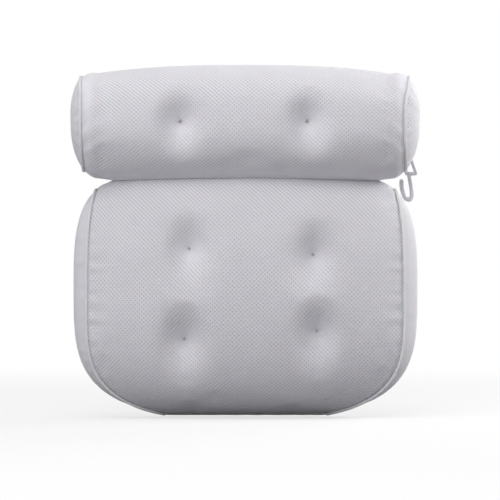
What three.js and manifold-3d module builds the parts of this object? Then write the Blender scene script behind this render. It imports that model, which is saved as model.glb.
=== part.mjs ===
// Bath pillow: a neck roll and a back pad in spacer mesh, joined by a fold strip at the back.
// Six tufts are tied to suction cups behind them, and a hook hangs from the right end of the roll.
// Frame: X to the right, Y towards the tub wall, Z up. The cup rims lie in the plane Y = 0.
// The origin is the middle of the pad's back, on that plane. All sizes are in millimetres.
import * as THREE from 'three';
import { mergeVertices } from 'three/addons/utils/BufferGeometryUtils.js';
import Module from 'manifold-3d';

// Fabric and fits
const FIT = 0.3; // gap between pieces that touch
const COVER = 3; // spacer mesh of the panels
const WELT = 3.2; // rolled edge along a seam
const STAND_OFF = 15; // tub wall to the back of the covers

// Pad
const PAD_TOP = 114; // above the origin
const PAD_BELOW = 125; // below the origin
const PAD_BOTTOM = -PAD_BELOW;
const PAD_WAIST = 8; // height of the widest place
const PAD_WIDTH = 353; // across the bulge of the gussets
const PAD_HEAD_INSET = 23.5; // seam end at the top inside the widest place
const PAD_FOOT_INSET = 93.5; // seam end at the bottom inside the widest place
const PAD_DEPTH = 80; // back to crown
const PAD_SIDE_DEPTH = 54; // back to front seam
const PAD_EDGE_DEPTH = 8; // straight part at the top and bottom edges
const PAD_BULGE = 15.5; // gusset beyond the front seam
const PAD_CORNER_DROP = 9; // top corners below the top edge
const PAD_CORNER_POWER = 3; // squareness of the outline
const PAD_FOOT_FULLNESS = 3.75; // how late the sides turn in towards the foot
const PAD_TOP_POWER = 3.4; // squareness of the side profile
const PAD_FOOT_POWER = 2.6;

// Roll
const CREASE = 0.6; // between roll and pad
const ROLL_LENGTH = 328; // between the end seams
const ROLL_HEIGHT = 118;
const ROLL_DEPTH = 98;
const ROLL_END_BULGE = 14;
const ROLL_END_DROP = 11.5; // top at the seams below the top in the middle
const ROLL_END_RISE = 9; // bottom at the seams above the bottom in the middle
const ROLL_END_SETBACK = 16; // front at the seams behind the front in the middle
const ROLL_BACK_RELIEF = 3; // back at the seams ahead of the back in the middle
const ROLL_BACK_POWER = 3.6; // squareness of the section
const ROLL_FRONT_POWER = 2.3;
const ROLL_MIDDLE = PAD_TOP + CREASE + ROLL_HEIGHT / 2;

// Tufts: tied by hand, so they are not quite even
const TUFT_DEPTH = 17;
const TUFT_REACH = 22;
const ROLL_TUFT_LEFT = 66; // left of the middle
const ROLL_TUFT_RIGHT = 62; // right of the middle
const LOWER_TUFT_LEFT = 62;
const LOWER_TUFT_LEFT_DROP = 46; // below the origin
const LOWER_TUFT_RIGHT = 72;
const LOWER_TUFT_RIGHT_DROP = 38;
const UPPER_TUFT_LEFT = 57;
const UPPER_TUFT_LEFT_RISE = 45; // above the origin
const UPPER_TUFT_RIGHT = 68;
const UPPER_TUFT_RIGHT_RISE = 39;
const ROLL_TUFTS = {
  roll_left: [-ROLL_TUFT_LEFT, ROLL_MIDDLE],
  roll_right: [ROLL_TUFT_RIGHT, ROLL_MIDDLE],
};
const PAD_TUFTS = {
  pad_lower_left: [-LOWER_TUFT_LEFT, -LOWER_TUFT_LEFT_DROP],
  pad_lower_right: [LOWER_TUFT_RIGHT, -LOWER_TUFT_RIGHT_DROP],
  pad_upper_left: [-UPPER_TUFT_LEFT, UPPER_TUFT_LEFT_RISE],
  pad_upper_right: [UPPER_TUFT_RIGHT, UPPER_TUFT_RIGHT_RISE],
};

// Ties
const TIE = 1.8;
const TACK = 4.8; // flat stitch on the front
const TACK_THICKNESS = 1.5;

// Suction cups
const CUP = 52;
const CUP_HOLLOW = 6.5;
const CUP_LIP = 2; // flat ring that meets the wall
const CUP_SHOULDER = 17;
const CUP_NECK = 9;
const CUP_HEAD = 18;
const CUP_HEAD_THICKNESS = 4;
const CUP_EYE = 2.6; // blind hole in the head for the tie
const CUP_EYE_DEPTH = 3;

// Fold strip
const FLAP_WIDTH = 260;
const FLAP_ON_ROLL = 38;
const FLAP_ON_PAD = 34;
const FLAP_THICKNESS = 1.6;

// Hook and its loop
const HOOK_ROD = 3.8;
const EYE_ROD = 3;
const HOOK_BEYOND_SEAM = 5.5; // hook outside the end seam of the roll
const HOOK_X = ROLL_LENGTH / 2 + HOOK_BEYOND_SEAM;
const HOOK_Y = -11;
const EYE_RIGHT = 7; // corners of the eye beside the shank, at rod centres
const EYE_LEFT = 3;
const EYE_HEIGHT = 15.5;
const EYE_BELOW_ROLL = 51; // base of the eye below the middle of the roll
const HOOK_DROP = 27; // below the base of the eye
const HOOK_GAPE = 10.6; // between rod centres
const HOOK_TIP = 7.8; // tip below the base of the eye
const LOOP_CORD = 2;
const LOOP_LENGTH = 20; // from the apex of the eye up to the sewn end
const LOOP_BEYOND_SEAM = 2; // sewn end, on the welt
const LOOP_X = ROLL_LENGTH / 2 + LOOP_BEYOND_SEAM;

const BACK = -STAND_OFF;
const BASE = BACK - COVER - FIT; // plane where the front pieces end
const UNDER = COVER + FIT;
const point = (x, y, z) => new THREE.Vector3(x, y, z);
const mix = THREE.MathUtils.lerp;
const power = (value, exponent) => Math.sign(value) * Math.abs(value) ** exponent;

const wasm = await Module();
wasm.setup();

// Clean indexed copy of a geometry whose faces point outwards
function outward(geometry) {
  const bare = new THREE.BufferGeometry();
  bare.setAttribute('position', geometry.getAttribute('position'));
  bare.setIndex(geometry.index);
  const merged = mergeVertices(bare, 1e-3);
  const at = (i) => new THREE.Vector3().fromBufferAttribute(merged.attributes.position, i);
  const faces = [];
  let volume = 0;
  for (let i = 0; i < merged.index.count; i += 3) {
    const [a, b, c] = [0, 1, 2].map((k) => merged.index.getX(i + k));
    if (a !== b && b !== c && c !== a) {
      faces.push([a, b, c]);
      volume += at(a).dot(at(b).cross(at(c)));
    }
  }
  merged.setIndex(faces.flatMap(([a, b, c]) => (volume < 0 ? [a, c, b] : [a, b, c])));
  return merged;
}

function closed(points, faces) {
  const geometry = new THREE.BufferGeometry().setFromPoints(points);
  geometry.setIndex(faces.flat());
  return outward(geometry);
}

function toSolid(geometry) {
  const clean = outward(geometry);
  return new wasm.Manifold(
    new wasm.Mesh({
      numProp: 3,
      vertProperties: clean.attributes.position.array,
      triVerts: Uint32Array.from(clean.index.array),
    }),
  );
}

function toGeometry(solid) {
  const mesh = solid.getMesh();
  const geometry = new THREE.BufferGeometry();
  geometry.setAttribute('position', new THREE.BufferAttribute(mesh.vertProperties, mesh.numProp));
  geometry.setIndex(new THREE.BufferAttribute(mesh.triVerts, 1));
  return geometry;
}

function cut(geometry, tools) {
  return toGeometry(tools.reduce((rest, tool) => rest.subtract(toSolid(tool)), toSolid(geometry)));
}

function join(geometries) {
  return toGeometry(geometries.map(toSolid).reduce((whole, next) => whole.add(next)));
}

// Faces between two rings that close on themselves; a ring of one point is a pole
function band(first, second, offset) {
  const count = Math.max(first.length, second.length);
  const start = offset + first.length;
  const faces = [];
  for (let k = 0; k < count; k += 1) {
    const next = (k + 1) % count;
    if (first.length > 1) {
      faces.push([offset + k, offset + next, start + (second.length > 1 ? next : 0)]);
    }
    if (second.length > 1) {
      faces.push([first.length > 1 ? offset + k : offset, start + next, start + k]);
    }
  }
  return faces;
}

// Closed skin over a stack of rings
function skin(rings) {
  const faces = [];
  let offset = 0;
  for (let j = 0; j + 1 < rings.length; j += 1) {
    faces.push(...band(rings[j], rings[j + 1], offset));
    offset += rings[j].length;
  }
  return closed(rings.flat(), faces);
}

// Sheet of fabric between outer rows of points and the same rows moved inwards
function sheet(outer, inner) {
  const rings = outer.map((row, j) => [...row, ...inner[j].slice().reverse()]);
  const size = rings[0].length;
  const last = size * (rings.length - 1);
  const faces = [];
  rings.slice(1).forEach((ring, j) => faces.push(...band(rings[j], ring, j * size)));
  for (let k = 0; k + 1 < size / 2; k += 1) {
    const across = [k + 1, k, size - 1 - k, size - 2 - k];
    faces.push([across[0], across[1], across[2]], [across[0], across[2], across[3]]);
    faces.push([across[2] + last, across[1] + last, across[0] + last]);
    faces.push([across[3] + last, across[2] + last, across[0] + last]);
  }
  return closed(rings.flat(), faces);
}

// Numbers from the first stop to the last, crowded towards every stop
function crowded(stops, counts) {
  const values = [stops[0]];
  counts.forEach((count, k) => {
    for (let i = 1; i <= count; i += 1) {
      values.push(mix(stops[k], stops[k + 1], (1 - Math.cos((Math.PI * i) / count)) / 2));
    }
  });
  return values;
}

// Value at a place on a line of stops that are one unit apart
function along(stops, place) {
  const k = Math.min(Math.floor(place), stops.length - 2);
  return mix(stops[k], stops[k + 1], place - k);
}

// Unit normals of a grid of points, on the side where columns cross rows
function normals(rows) {
  return rows.map((row, j) =>
    row.map((_, i) => {
      const right = row[Math.min(i + 1, row.length - 1)].clone().sub(row[Math.max(i - 1, 0)]);
      const above = rows[Math.min(j + 1, rows.length - 1)][i].clone();
      above.sub(rows[Math.max(j - 1, 0)][i]);
      return right.cross(above).normalize();
    }),
  );
}

const moved = (rows, directions, distance) =>
  rows.map((row, j) => row.map((p, i) => p.clone().addScaledVector(directions[j][i], distance)));

function dimple(x, z, tufts) {
  const pulls = Object.values(tufts).map(([tx, tz]) => {
    const away = Math.hypot(x - tx, z - tz) / TUFT_REACH;
    return TUFT_DEPTH * Math.exp(-(away ** 1.5));
  });
  return pulls.reduce((sum, pull) => sum + pull, 0);
}

// Tube along a closed or an open line of points
function cord(points, diameter, isClosed, steps) {
  const curve = new THREE.CatmullRomCurve3(points, isClosed, 'centripetal');
  if (isClosed) {
    return outward(new THREE.TubeGeometry(curve, steps, diameter / 2, 6, true));
  }
  const section = new THREE.Shape();
  section.absarc(0, 0, diameter / 2, 0, 2 * Math.PI);
  const settings = { extrudePath: curve, steps, curveSegments: 6, bevelEnabled: false };
  return outward(new THREE.ExtrudeGeometry(section, settings));
}

// Solid of revolution about the Y direction at a place on the back plane
function turned(profile, sides, [x, z]) {
  const outline = profile.map(([radius, y]) => new THREE.Vector2(radius, y));
  return outward(new THREE.LatheGeometry(outline, sides).translate(x, 0, z));
}

function pin(radius, from, to, place) {
  return turned([[0, from], [radius, from], [radius, to], [0, to]], 16, place);
}

// Side profile of the pad at an angle from -90 degrees (bottom) to 90 (top)
function padProfile(angle) {
  const rise = angle > 0 ? PAD_TOP - PAD_WAIST : PAD_WAIST - PAD_BOTTOM;
  const squareness = angle > 0 ? PAD_TOP_POWER : PAD_FOOT_POWER;
  return {
    z: PAD_WAIST + rise * power(Math.sin(angle), 2 / squareness),
    depth: Math.abs(Math.cos(angle)) ** (2 / squareness),
    bulge: PAD_BULGE * Math.abs(Math.cos(angle)) ** 1.8,
  };
}

function padAngle(z) {
  const rise = z > PAD_WAIST ? PAD_TOP - PAD_WAIST : PAD_WAIST - PAD_BOTTOM;
  const squareness = z > PAD_WAIST ? PAD_TOP_POWER : PAD_FOOT_POWER;
  return Math.asin(power((z - PAD_WAIST) / rise, squareness / 2));
}

// Half of the pad's width at a height, over the bulge
function padHalf(z) {
  const rise = z > PAD_WAIST ? PAD_TOP - PAD_WAIST : PAD_WAIST - PAD_BOTTOM;
  const end = 1 - (2 * (z > PAD_WAIST ? PAD_HEAD_INSET : PAD_FOOT_INSET)) / PAD_WIDTH;
  const fullness = z > PAD_WAIST ? PAD_CORNER_POWER : PAD_FOOT_FULLNESS;
  const drop = Math.min(Math.abs(z - PAD_WAIST) / rise, 1) ** fullness;
  return (PAD_WIDTH / 2) * (1 - (1 - end ** PAD_CORNER_POWER) * drop) ** (1 / PAD_CORNER_POWER);
}

// Outward direction of the outline on the right-hand side
function padOutward(z) {
  const low = Math.max(z - 1, PAD_BOTTOM);
  const high = Math.min(z + 1, PAD_TOP);
  return point(high - low, 0, padHalf(low) - padHalf(high)).normalize();
}

// Front of the pad; column and row run from 0 to 3 and pass through the tufts at 1 and 2
function padFront(column, row) {
  const tuft = (name, axis) => PAD_TUFTS[name][axis];
  const across = THREE.MathUtils.clamp(column - 1, 0, 1);
  const up = THREE.MathUtils.clamp(row - 1, 0, 1);
  const lower = mix(tuft('pad_lower_left', 1), tuft('pad_lower_right', 1), across);
  const upper = mix(tuft('pad_upper_left', 1), tuft('pad_upper_right', 1), across);
  const angle = along([-Math.PI / 2, padAngle(lower), padAngle(upper), Math.PI / 2], row);
  const { z, depth, bulge } = padProfile(angle);
  const side = padOutward(z);
  const half = padHalf(z) - side.x * bulge;
  const spread = Math.min(row, 1);
  const left = mix(tuft('pad_lower_left', 0), tuft('pad_upper_left', 0), up);
  const right = mix(tuft('pad_lower_right', 0), tuft('pad_upper_right', 0), up);
  const stops = [-half, mix(-0.4 * half, left, spread), mix(0.4 * half, right, spread), half];
  const x = along(stops, column);
  const share = Math.abs(x / half);
  const crown = mix(PAD_DEPTH, PAD_SIDE_DEPTH, share ** 2.5) - UNDER - PAD_EDGE_DEPTH;
  const corner = PAD_CORNER_DROP * share ** 14 * Math.max(Math.sin(angle), 0) ** 3;
  const height = z - side.z * bulge * share ** 4 - corner;
  const y = BASE - PAD_EDGE_DEPTH - crown * depth + dimple(x, height, PAD_TUFTS);
  return { at: point(x, y, height), side, bulge, tuck: Math.abs(Math.sin(angle)) ** 10 };
}

// Rows of points over the pad's front, with the straight edges that meet the back panel
const padRows = crowded([0, 1, 2, 3], [8, 6, 8]);
const padColumns = crowded([0, 1, 2, 3], [5, 6, 5]);
const frontRows = padRows.map((row) => padColumns.map((column) => padFront(column, row).at));
const onBase = (row) => row.map((p) => point(p.x, BASE, p.z));
frontRows.unshift(onBase(frontRows[0]));
frontRows.push(onBase(frontRows.at(-1)));
const frontNormals = normals(frontRows);
[0, frontRows.length - 1].forEach((j) => frontNormals[j].forEach((n) => n.setY(0).normalize()));

// Gusset rows run from the front seam to the back, tucked under the edge of the front panel
function gussetRows(column, shares) {
  const right = column > 0;
  const i = right ? padColumns.length - 1 : 0;
  return padRows.map((row, j) => {
    const { at, side, bulge, tuck } = padFront(column, row);
    const under = frontNormals[j + 1][i];
    const out = point(right ? side.x : -side.x, 0, side.z);
    const points = shares.map((share) => {
      const p = point(at.x, mix(at.y, BASE, share), at.z);
      p.addScaledVector(under, -1.5 * UNDER * Math.max(1 - share, tuck));
      p.addScaledVector(out, bulge * Math.sin(Math.PI * share) ** 0.8);
      return share === 1 ? p.setY(BASE) : p;
    });
    return right ? points : points.reverse();
  });
}

const gussetShares = [0, 0.12, 0.3, 0.5, 0.75, 1];
const gussets = { left: gussetRows(0, gussetShares), right: gussetRows(3, gussetShares) };

function gusset(rows, backColumn) {
  const directions = normals(rows);
  directions.forEach((row) => row[backColumn].setY(0).normalize());
  return sheet(rows, moved(rows, directions, -COVER));
}

// Outline of the back panel: foot, right side, head and left side
const seamLine = (column) => padRows.slice(1, -1).map((row) => padFront(column, row).at);
const outline = [
  ...frontRows[0],
  ...seamLine(3),
  ...frontRows.at(-1).slice().reverse(),
  ...seamLine(0).reverse(),
];

function plate(points, from, to) {
  const flat = points.map((p) => new THREE.Vector2(p.x, p.z));
  const triangles = THREE.ShapeUtils.triangulateShape(flat, []);
  const count = points.length;
  const faces = [];
  triangles.forEach(([a, b, c]) => faces.push([a, b, c], [c + count, b + count, a + count]));
  faces.push(...band(points, points, 0).map(([a, b, c]) => [a, c, b]));
  const level = (y) => points.map((p) => point(p.x, y, p.z));
  return closed([...level(from), ...level(to)], faces);
}

// Filling of the pad: inside the front and the gussets, drawn back from the seams
function padFilling() {
  const inside = moved(frontRows, frontNormals, -UNDER).map((row) => row.slice(2, -2));
  const sides = Object.values(gussets).map((rows) => moved(rows, normals(rows), -2 * UNDER));
  const rows = inside.slice(3, -3).map((row, j) => [
    ...sides[0][j + 2].slice(0, 3),
    ...row,
    ...sides[1][j + 2].slice(-3),
  ]);
  rows.unshift(rows[0].map((p) => p.clone()));
  rows.push(rows.at(-1).map((p) => p.clone()));
  const flatten = (p) => p.setY(BASE);
  rows[0].forEach(flatten);
  rows.at(-1).forEach(flatten);
  rows.forEach((row) => [row[0], row.at(-1)].forEach(flatten));
  const size = rows[0].length;
  const points = rows.flat();
  const faces = [];
  for (let j = 0; j + 1 < rows.length; j += 1) {
    for (let i = 0; i + 1 < size; i += 1) {
      const k = j * size + i;
      faces.push([k, k + 1, k + size], [k + 1, k + size + 1, k + size]);
    }
  }
  const last = rows.length - 1;
  const rim = [
    ...rows[0].map((_, i) => i),
    ...rows.slice(1, -1).map((_, j) => (j + 2) * size - 1),
    ...rows[last].map((_, i) => last * size + i).reverse(),
    ...rows.slice(1, -1).map((_, j) => (j + 1) * size).reverse(),
  ];
  const flat = rim.map((k) => new THREE.Vector2(points[k].x, points[k].z));
  const triangles = THREE.ShapeUtils.triangulateShape(flat, []);
  faces.push(...triangles.map(([a, b, c]) => [rim[c], rim[b], rim[a]]));
  return closed(points, faces);
}

// Section of the roll at a distance from its middle; angle 0 is the back, 90 degrees the top
function rollPoint(x, angle) {
  const share = Math.min(Math.abs(x) / (ROLL_LENGTH / 2), 1);
  const back = BACK - ROLL_BACK_RELIEF * share ** 4;
  const depth = ROLL_DEPTH - (ROLL_END_SETBACK + ROLL_BACK_RELIEF) * share ** 3;
  const rear = Math.cos(angle) > 0;
  const squareness = rear ? ROLL_BACK_POWER : ROLL_FRONT_POWER;
  const top = ROLL_HEIGHT / 2 - ROLL_END_DROP * share ** 3.2;
  const bottom = ROLL_HEIGHT / 2 - ROLL_END_RISE * share ** 12;
  const tall = Math.sin(angle) > 0 ? top : bottom;
  const z = ROLL_MIDDLE + tall * power(Math.sin(angle), 2 / squareness);
  const reach = (rear ? 0.42 : 0.58) * depth * power(Math.cos(angle), 2 / squareness);
  const pull = rear ? 0 : dimple(x, z, ROLL_TUFTS) * Math.abs(Math.cos(angle));
  return point(x, back - 0.42 * depth + reach + pull, z);
}

const rollSides = 28;
const rollAngles = Array.from({ length: rollSides }, (_, k) => (2 * Math.PI * k) / rollSides);
const tuftStops = Object.values(ROLL_TUFTS).map(([x]) => x);
const rollStations = crowded([-ROLL_LENGTH / 2, ...tuftStops, ROLL_LENGTH / 2], [5, 6, 5]);
const rollRings = rollStations.map((x) => rollAngles.map((angle) => rollPoint(x, angle)));

// Outward directions of the roll's rings; those of the two end rings lie in the seam's plane
const rollNormals = rollRings.map((ring, j) =>
  ring.map((_, k) => {
    const round = ring[(k + 1) % rollSides].clone().sub(ring[(k + rollSides - 1) % rollSides]);
    const lengthways = rollRings[Math.min(j + 1, rollRings.length - 1)][k].clone();
    lengthways.sub(rollRings[Math.max(j - 1, 0)][k]);
    const out = round.cross(lengthways);
    return (j === 0 || j === rollRings.length - 1 ? out.setX(0) : out).normalize();
  }),
);

function rollCover() {
  const inner = moved(rollRings, rollNormals, -COVER);
  const loop = [...rollRings, ...inner.reverse(), rollRings[0]];
  return skin(loop);
}

// End panel of the roll: a dome set inside the end of the cover
function rollDome(end, shares, inset) {
  const rim = end < 0 ? 0 : rollRings.length - 1;
  const middle = rollPoint(0, 0).setX(end * (ROLL_LENGTH / 2)).setY(BACK - 0.45 * ROLL_DEPTH);
  return shares.map((share) => {
    const bulge = ROLL_END_BULGE * (1 - share ** 2.5) - inset;
    const ring = rollRings[rim].map((p, k) => {
      const edge = p.clone().addScaledVector(rollNormals[rim][k], -UNDER);
      return middle.clone().lerp(edge, share).add(point(end * bulge, 0, 0));
    });
    return share === 0 ? [ring[0]] : ring;
  });
}

function rollEnd(end) {
  const shares = [0, 0.3, 0.55, 0.8, 1];
  return skin([...rollDome(end, shares, 0), ...rollDome(end, shares, COVER).reverse()]);
}

function rollFilling() {
  const inside = moved(rollRings, rollNormals, -UNDER).slice(2, -2);
  const dome = (end) => rollDome(end, [0, 0.3, 0.55, 0.8], UNDER + FIT);
  return skin([...dome(1), ...inside.reverse(), ...dome(-1).reverse()]);
}

// Welt along a seam, from its points, their outward directions and the directions across those
function welt(line, outs, uprights, isClosed) {
  const turns = Array.from({ length: 6 }, (_, k) => (Math.PI * k) / 3);
  const rings = line.map((p, k) =>
    turns.map((turn) => {
      const place = p.clone().addScaledVector(outs[k], (WELT / 2) * Math.cos(turn));
      return place.addScaledVector(uprights[k], (WELT / 2) * Math.sin(turn));
    }),
  );
  return skin(isClosed ? [...rings, rings[0]] : [[line[0]], ...rings, [line.at(-1)]]);
}

// Welts lie in the step beside each seam
function rollWelt(end) {
  const rim = end < 0 ? 0 : rollRings.length - 1;
  const line = rollRings[rim].map((p, k) => {
    const place = p.clone().addScaledVector(rollNormals[rim][k], -WELT / 2);
    return place.add(point(end * (WELT / 2 + FIT), 0, 0));
  });
  return welt(line, rollNormals[rim], line.map(() => point(1, 0, 0)), true);
}

function padWelt(column) {
  const rows = padRows.slice(2, -2).map((row) => padFront(column, row));
  const outs = rows.map(({ at, side }) => point(Math.sign(at.x) * side.x, 0, side.z));
  const line = rows.map(({ at }, k) => at.clone().addScaledVector(outs[k], WELT / 2 + FIT));
  const uprights = line.map((_, k) => {
    const onwards = line[Math.min(k + 1, line.length - 1)].clone().sub(line[Math.max(k - 1, 0)]);
    return onwards.cross(outs[k]).normalize();
  });
  return welt(line, outs, uprights, false);
}

function padBackWelt() {
  const count = outline.length;
  const sideways = (from, to) => point(to.z - from.z, 0, from.x - to.x).normalize();
  const outs = outline.map((p, k) => {
    const before = sideways(outline[(k + count - 1) % count], p);
    const after = sideways(p, outline[(k + 1) % count]);
    return before.clone().add(after).divideScalar(1 + before.dot(after));
  });
  const line = outline.map((p, k) =>
    point(p.x, BASE + WELT / 2 + FIT / 2, p.z).addScaledVector(outs[k], WELT / 2 + FIT),
  );
  return welt(line, outs, line.map(() => point(0, 1, 0)), true);
}

// Suction cup: hollow, lip, bell, shoulder on the cover, neck through it, head under it
function cupProfile() {
  const rim = CUP / 2;
  const hollow = rim - CUP_LIP;
  const seat = BACK + FIT;
  const head = BACK - COVER - FIT;
  const tail = head - CUP_HEAD_THICKNESS;
  return [
    [0, -CUP_HOLLOW],
    [0.45 * hollow, -0.9 * CUP_HOLLOW],
    [0.8 * hollow, -0.5 * CUP_HOLLOW],
    [hollow, 0],
    [rim, 0],
    [0.82 * rim, -0.32 * STAND_OFF],
    [0.5 * rim, -0.62 * STAND_OFF],
    [0.4 * CUP_SHOULDER, seat + 2.2],
    [CUP_SHOULDER / 2, seat + 1.6],
    [CUP_SHOULDER / 2, seat],
    [CUP_NECK / 2, seat],
    [CUP_NECK / 2, head],
    [CUP_HEAD / 2, head],
    [CUP_HEAD / 2 - 1, tail],
    [CUP_EYE / 2, tail],
    [CUP_EYE / 2, tail + CUP_EYE_DEPTH],
    [0, tail + CUP_EYE_DEPTH],
  ];
}

const cupTail = BACK - COVER - FIT - CUP_HEAD_THICKNESS;
const neckHole = (place) => pin(CUP_NECK / 2 + FIT, BASE - COVER, BACK + COVER, place);
const headPocket = (place) => pin(CUP_HEAD / 2 + FIT, cupTail - FIT, BACK, place);

// Tie from the eye of a cup to the flat stitch at the bottom of its tuft, grown for its own hole
function tie(place, front, growth) {
  const seat = front - FIT + growth;
  const face = front - FIT - TACK_THICKNESS - growth;
  return turned(
    [
      [0, cupTail + CUP_EYE_DEPTH - FIT + growth],
      [TIE / 2 + growth, cupTail + CUP_EYE_DEPTH - FIT + growth],
      [TIE / 2 + growth, seat],
      [TACK / 2 + growth, seat],
      [0.8 * (TACK / 2) + growth, face],
      [0, face],
    ],
    10,
    place,
  );
}

const rollPlaces = Object.values(ROLL_TUFTS);
const padPlaces = Object.values(PAD_TUFTS);
const rollFront = ([x]) => rollPoint(x, Math.PI).y;
const tuftCells = [[1, 1], [2, 1], [1, 2], [2, 2]];
const padFronts = tuftCells.map(([column, row]) => padFront(column, row).at.y);
const rollHoles = rollPlaces.map((place) => tie(place, rollFront(place), FIT));
const padHoles = padPlaces.map((place, k) => tie(place, padFronts[k], FIT));

// Fold strip in two halves that meet on the fold line
const foldHeight = PAD_TOP + CREASE / 2;
function flap(from, to) {
  const box = new THREE.BoxGeometry(FLAP_WIDTH, FLAP_THICKNESS, to - from);
  return outward(box.translate(0, BACK + FIT + FLAP_THICKNESS / 2, (from + to) / 2));
}

// Hook: a triangular eye and an open J in one plane
const eyeBase = ROLL_MIDDLE - EYE_BELOW_ROLL;
const eyeApex = eyeBase + EYE_HEIGHT;
function hook() {
  const at = (x, z) => point(HOOK_X + x, HOOK_Y, eyeBase + z);
  const eye = [
    at(-2.2, EYE_HEIGHT - 1), at(0, EYE_HEIGHT), at(2.2, EYE_HEIGHT - 1),
    at(3.6, EYE_HEIGHT - 4.2),
    at(0.8 * EYE_RIGHT, 0.38 * EYE_HEIGHT),
    at(EYE_RIGHT, 1.5), at(EYE_RIGHT - 1, 0),
    at(0, 0),
    at(1 - EYE_LEFT, 0), at(-EYE_LEFT, 1.5),
    at(-1.15 * EYE_LEFT, 0.38 * EYE_HEIGHT),
    at(-3.6, EYE_HEIGHT - 4.2),
  ];
  const shank = [
    at(0, 0),
    at(0.17 * HOOK_GAPE, -0.37 * HOOK_DROP),
    at(0.28 * HOOK_GAPE, -0.72 * HOOK_DROP),
    at(0.24 * HOOK_GAPE, -0.9 * HOOK_DROP),
    at(0.03 * HOOK_GAPE, -HOOK_DROP),
    at(-0.34 * HOOK_GAPE, -0.94 * HOOK_DROP),
    at(-0.54 * HOOK_GAPE, -0.78 * HOOK_DROP),
    at(-0.7 * HOOK_GAPE, -0.53 * HOOK_DROP),
    at(-0.72 * HOOK_GAPE, -HOOK_TIP),
  ];
  const tip = new THREE.SphereGeometry(HOOK_ROD / 2, 10, 6);
  tip.translate(shank.at(-1).x, HOOK_Y, shank.at(-1).z);
  return join([cord(eye, EYE_ROD, true, 36), cord(shank, HOOK_ROD, false, 24), tip]);
}

// Loop: a drop-shaped ring of cord, sewn to the end welt at its top and round the apex of the eye
const loopTop = eyeApex + LOOP_LENGTH;
function loop() {
  const weltBack = Math.max(...rollRings.at(-1).map((p) => p.y)) + FIT;
  const upper = 0.75 * LOOP_CORD;
  const lower = (EYE_ROD + LOOP_CORD) / 2 + 3 * FIT;
  const top = weltBack + LOOP_CORD / 2 + upper;
  const arc = (x, y, z, radius, angle) => {
    const place = point(x, y, z);
    return place.add(point(0, radius * Math.cos(angle), radius * Math.sin(angle)));
  };
  const line = [0, 0.25, 0.5, 0.75, 1].map((turn) => arc(HOOK_X, HOOK_Y, eyeApex, lower, -Math.PI * turn));
  line.push(...[1, 0.75, 0.5, 0.25, 0].map((turn) => arc(LOOP_X, top, loopTop, upper, Math.PI * turn)));
  return cord(line, LOOP_CORD, true, 28);
}

// Materials
const finish = (name, color, roughness) => new THREE.MeshStandardMaterial({ name, color, roughness });
const meshFabric = finish('mesh_fabric', 0xd9d8dc, 0.9);
const plainFabric = finish('plain_fabric', 0xdddce0, 0.9);
const weltFabric = finish('welt_fabric', 0xe6e5e8, 0.85);
const filling = finish('filling', 0xf2f0ea, 1);
const cupRubber = finish('cup_rubber', 0xdfe6ea, 0.25);
const tieThread = finish('tie_thread', 0xc9bfa8, 0.8);
const hookPlastic = finish('hook_plastic', 0xe4e2ea, 0.35);
const loopCord = finish('loop_cord', 0xeeedf0, 0.8);

const part = new THREE.Group();
part.name = 'bath_pillow';
function add(name, geometry, material) {
  const mesh = new THREE.Mesh(geometry, material.clone());
  mesh.name = name;
  mesh.geometry.computeVertexNormals();
  part.add(mesh);
}

add('roll_cover', cut(rollCover(), [...rollPlaces.map(neckHole), ...rollHoles]), meshFabric);
add('roll_end_left', rollEnd(-1), plainFabric);
add('roll_end_right', rollEnd(1), plainFabric);
add('roll_welt_left', rollWelt(-1), weltFabric);
add('roll_welt_right', rollWelt(1), weltFabric);
add('roll_filling', cut(rollFilling(), [...rollPlaces.map(headPocket), ...rollHoles]), filling);
add('roll_flap', flap(foldHeight + FIT / 2, foldHeight + FLAP_ON_ROLL), plainFabric);

const frontSheet = sheet(frontRows, moved(frontRows, frontNormals, -COVER));
add('pad_front', cut(frontSheet, padHoles), meshFabric);
add('pad_back', cut(plate(outline, BACK - COVER, BACK), padPlaces.map(neckHole)), plainFabric);
add('pad_gusset_left', gusset(gussets.left, 0), plainFabric);
add('pad_gusset_right', gusset(gussets.right, gussetShares.length - 1), plainFabric);
add('pad_welt_left', padWelt(0), weltFabric);
add('pad_welt_right', padWelt(3), weltFabric);
add('pad_back_welt', padBackWelt(), weltFabric);
add('pad_filling', cut(padFilling(), [...padPlaces.map(headPocket), ...padHoles]), filling);
add('pad_flap', flap(foldHeight - FLAP_ON_PAD, foldHeight - FIT / 2), plainFabric);

Object.entries({ ...ROLL_TUFTS, ...PAD_TUFTS }).forEach(([name, place]) => {
  const isRoll = name.startsWith('roll');
  const front = isRoll ? rollFront(place) : padFronts[Object.keys(PAD_TUFTS).indexOf(name)];
  add(`suction_cup_${name}`, turned(cupProfile(), 18, place), cupRubber);
  add(`tuft_tie_${name}`, tie(place, front, 0), tieThread);
});

add('hanging_loop', loop(), loopCord);
add('hook', hook(), hookPlastic);

export default part;
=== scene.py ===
"""Bath pillow: a neck roll and a tufted back pad in white spacer mesh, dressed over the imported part."""
import math
from contextlib import contextmanager

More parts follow.
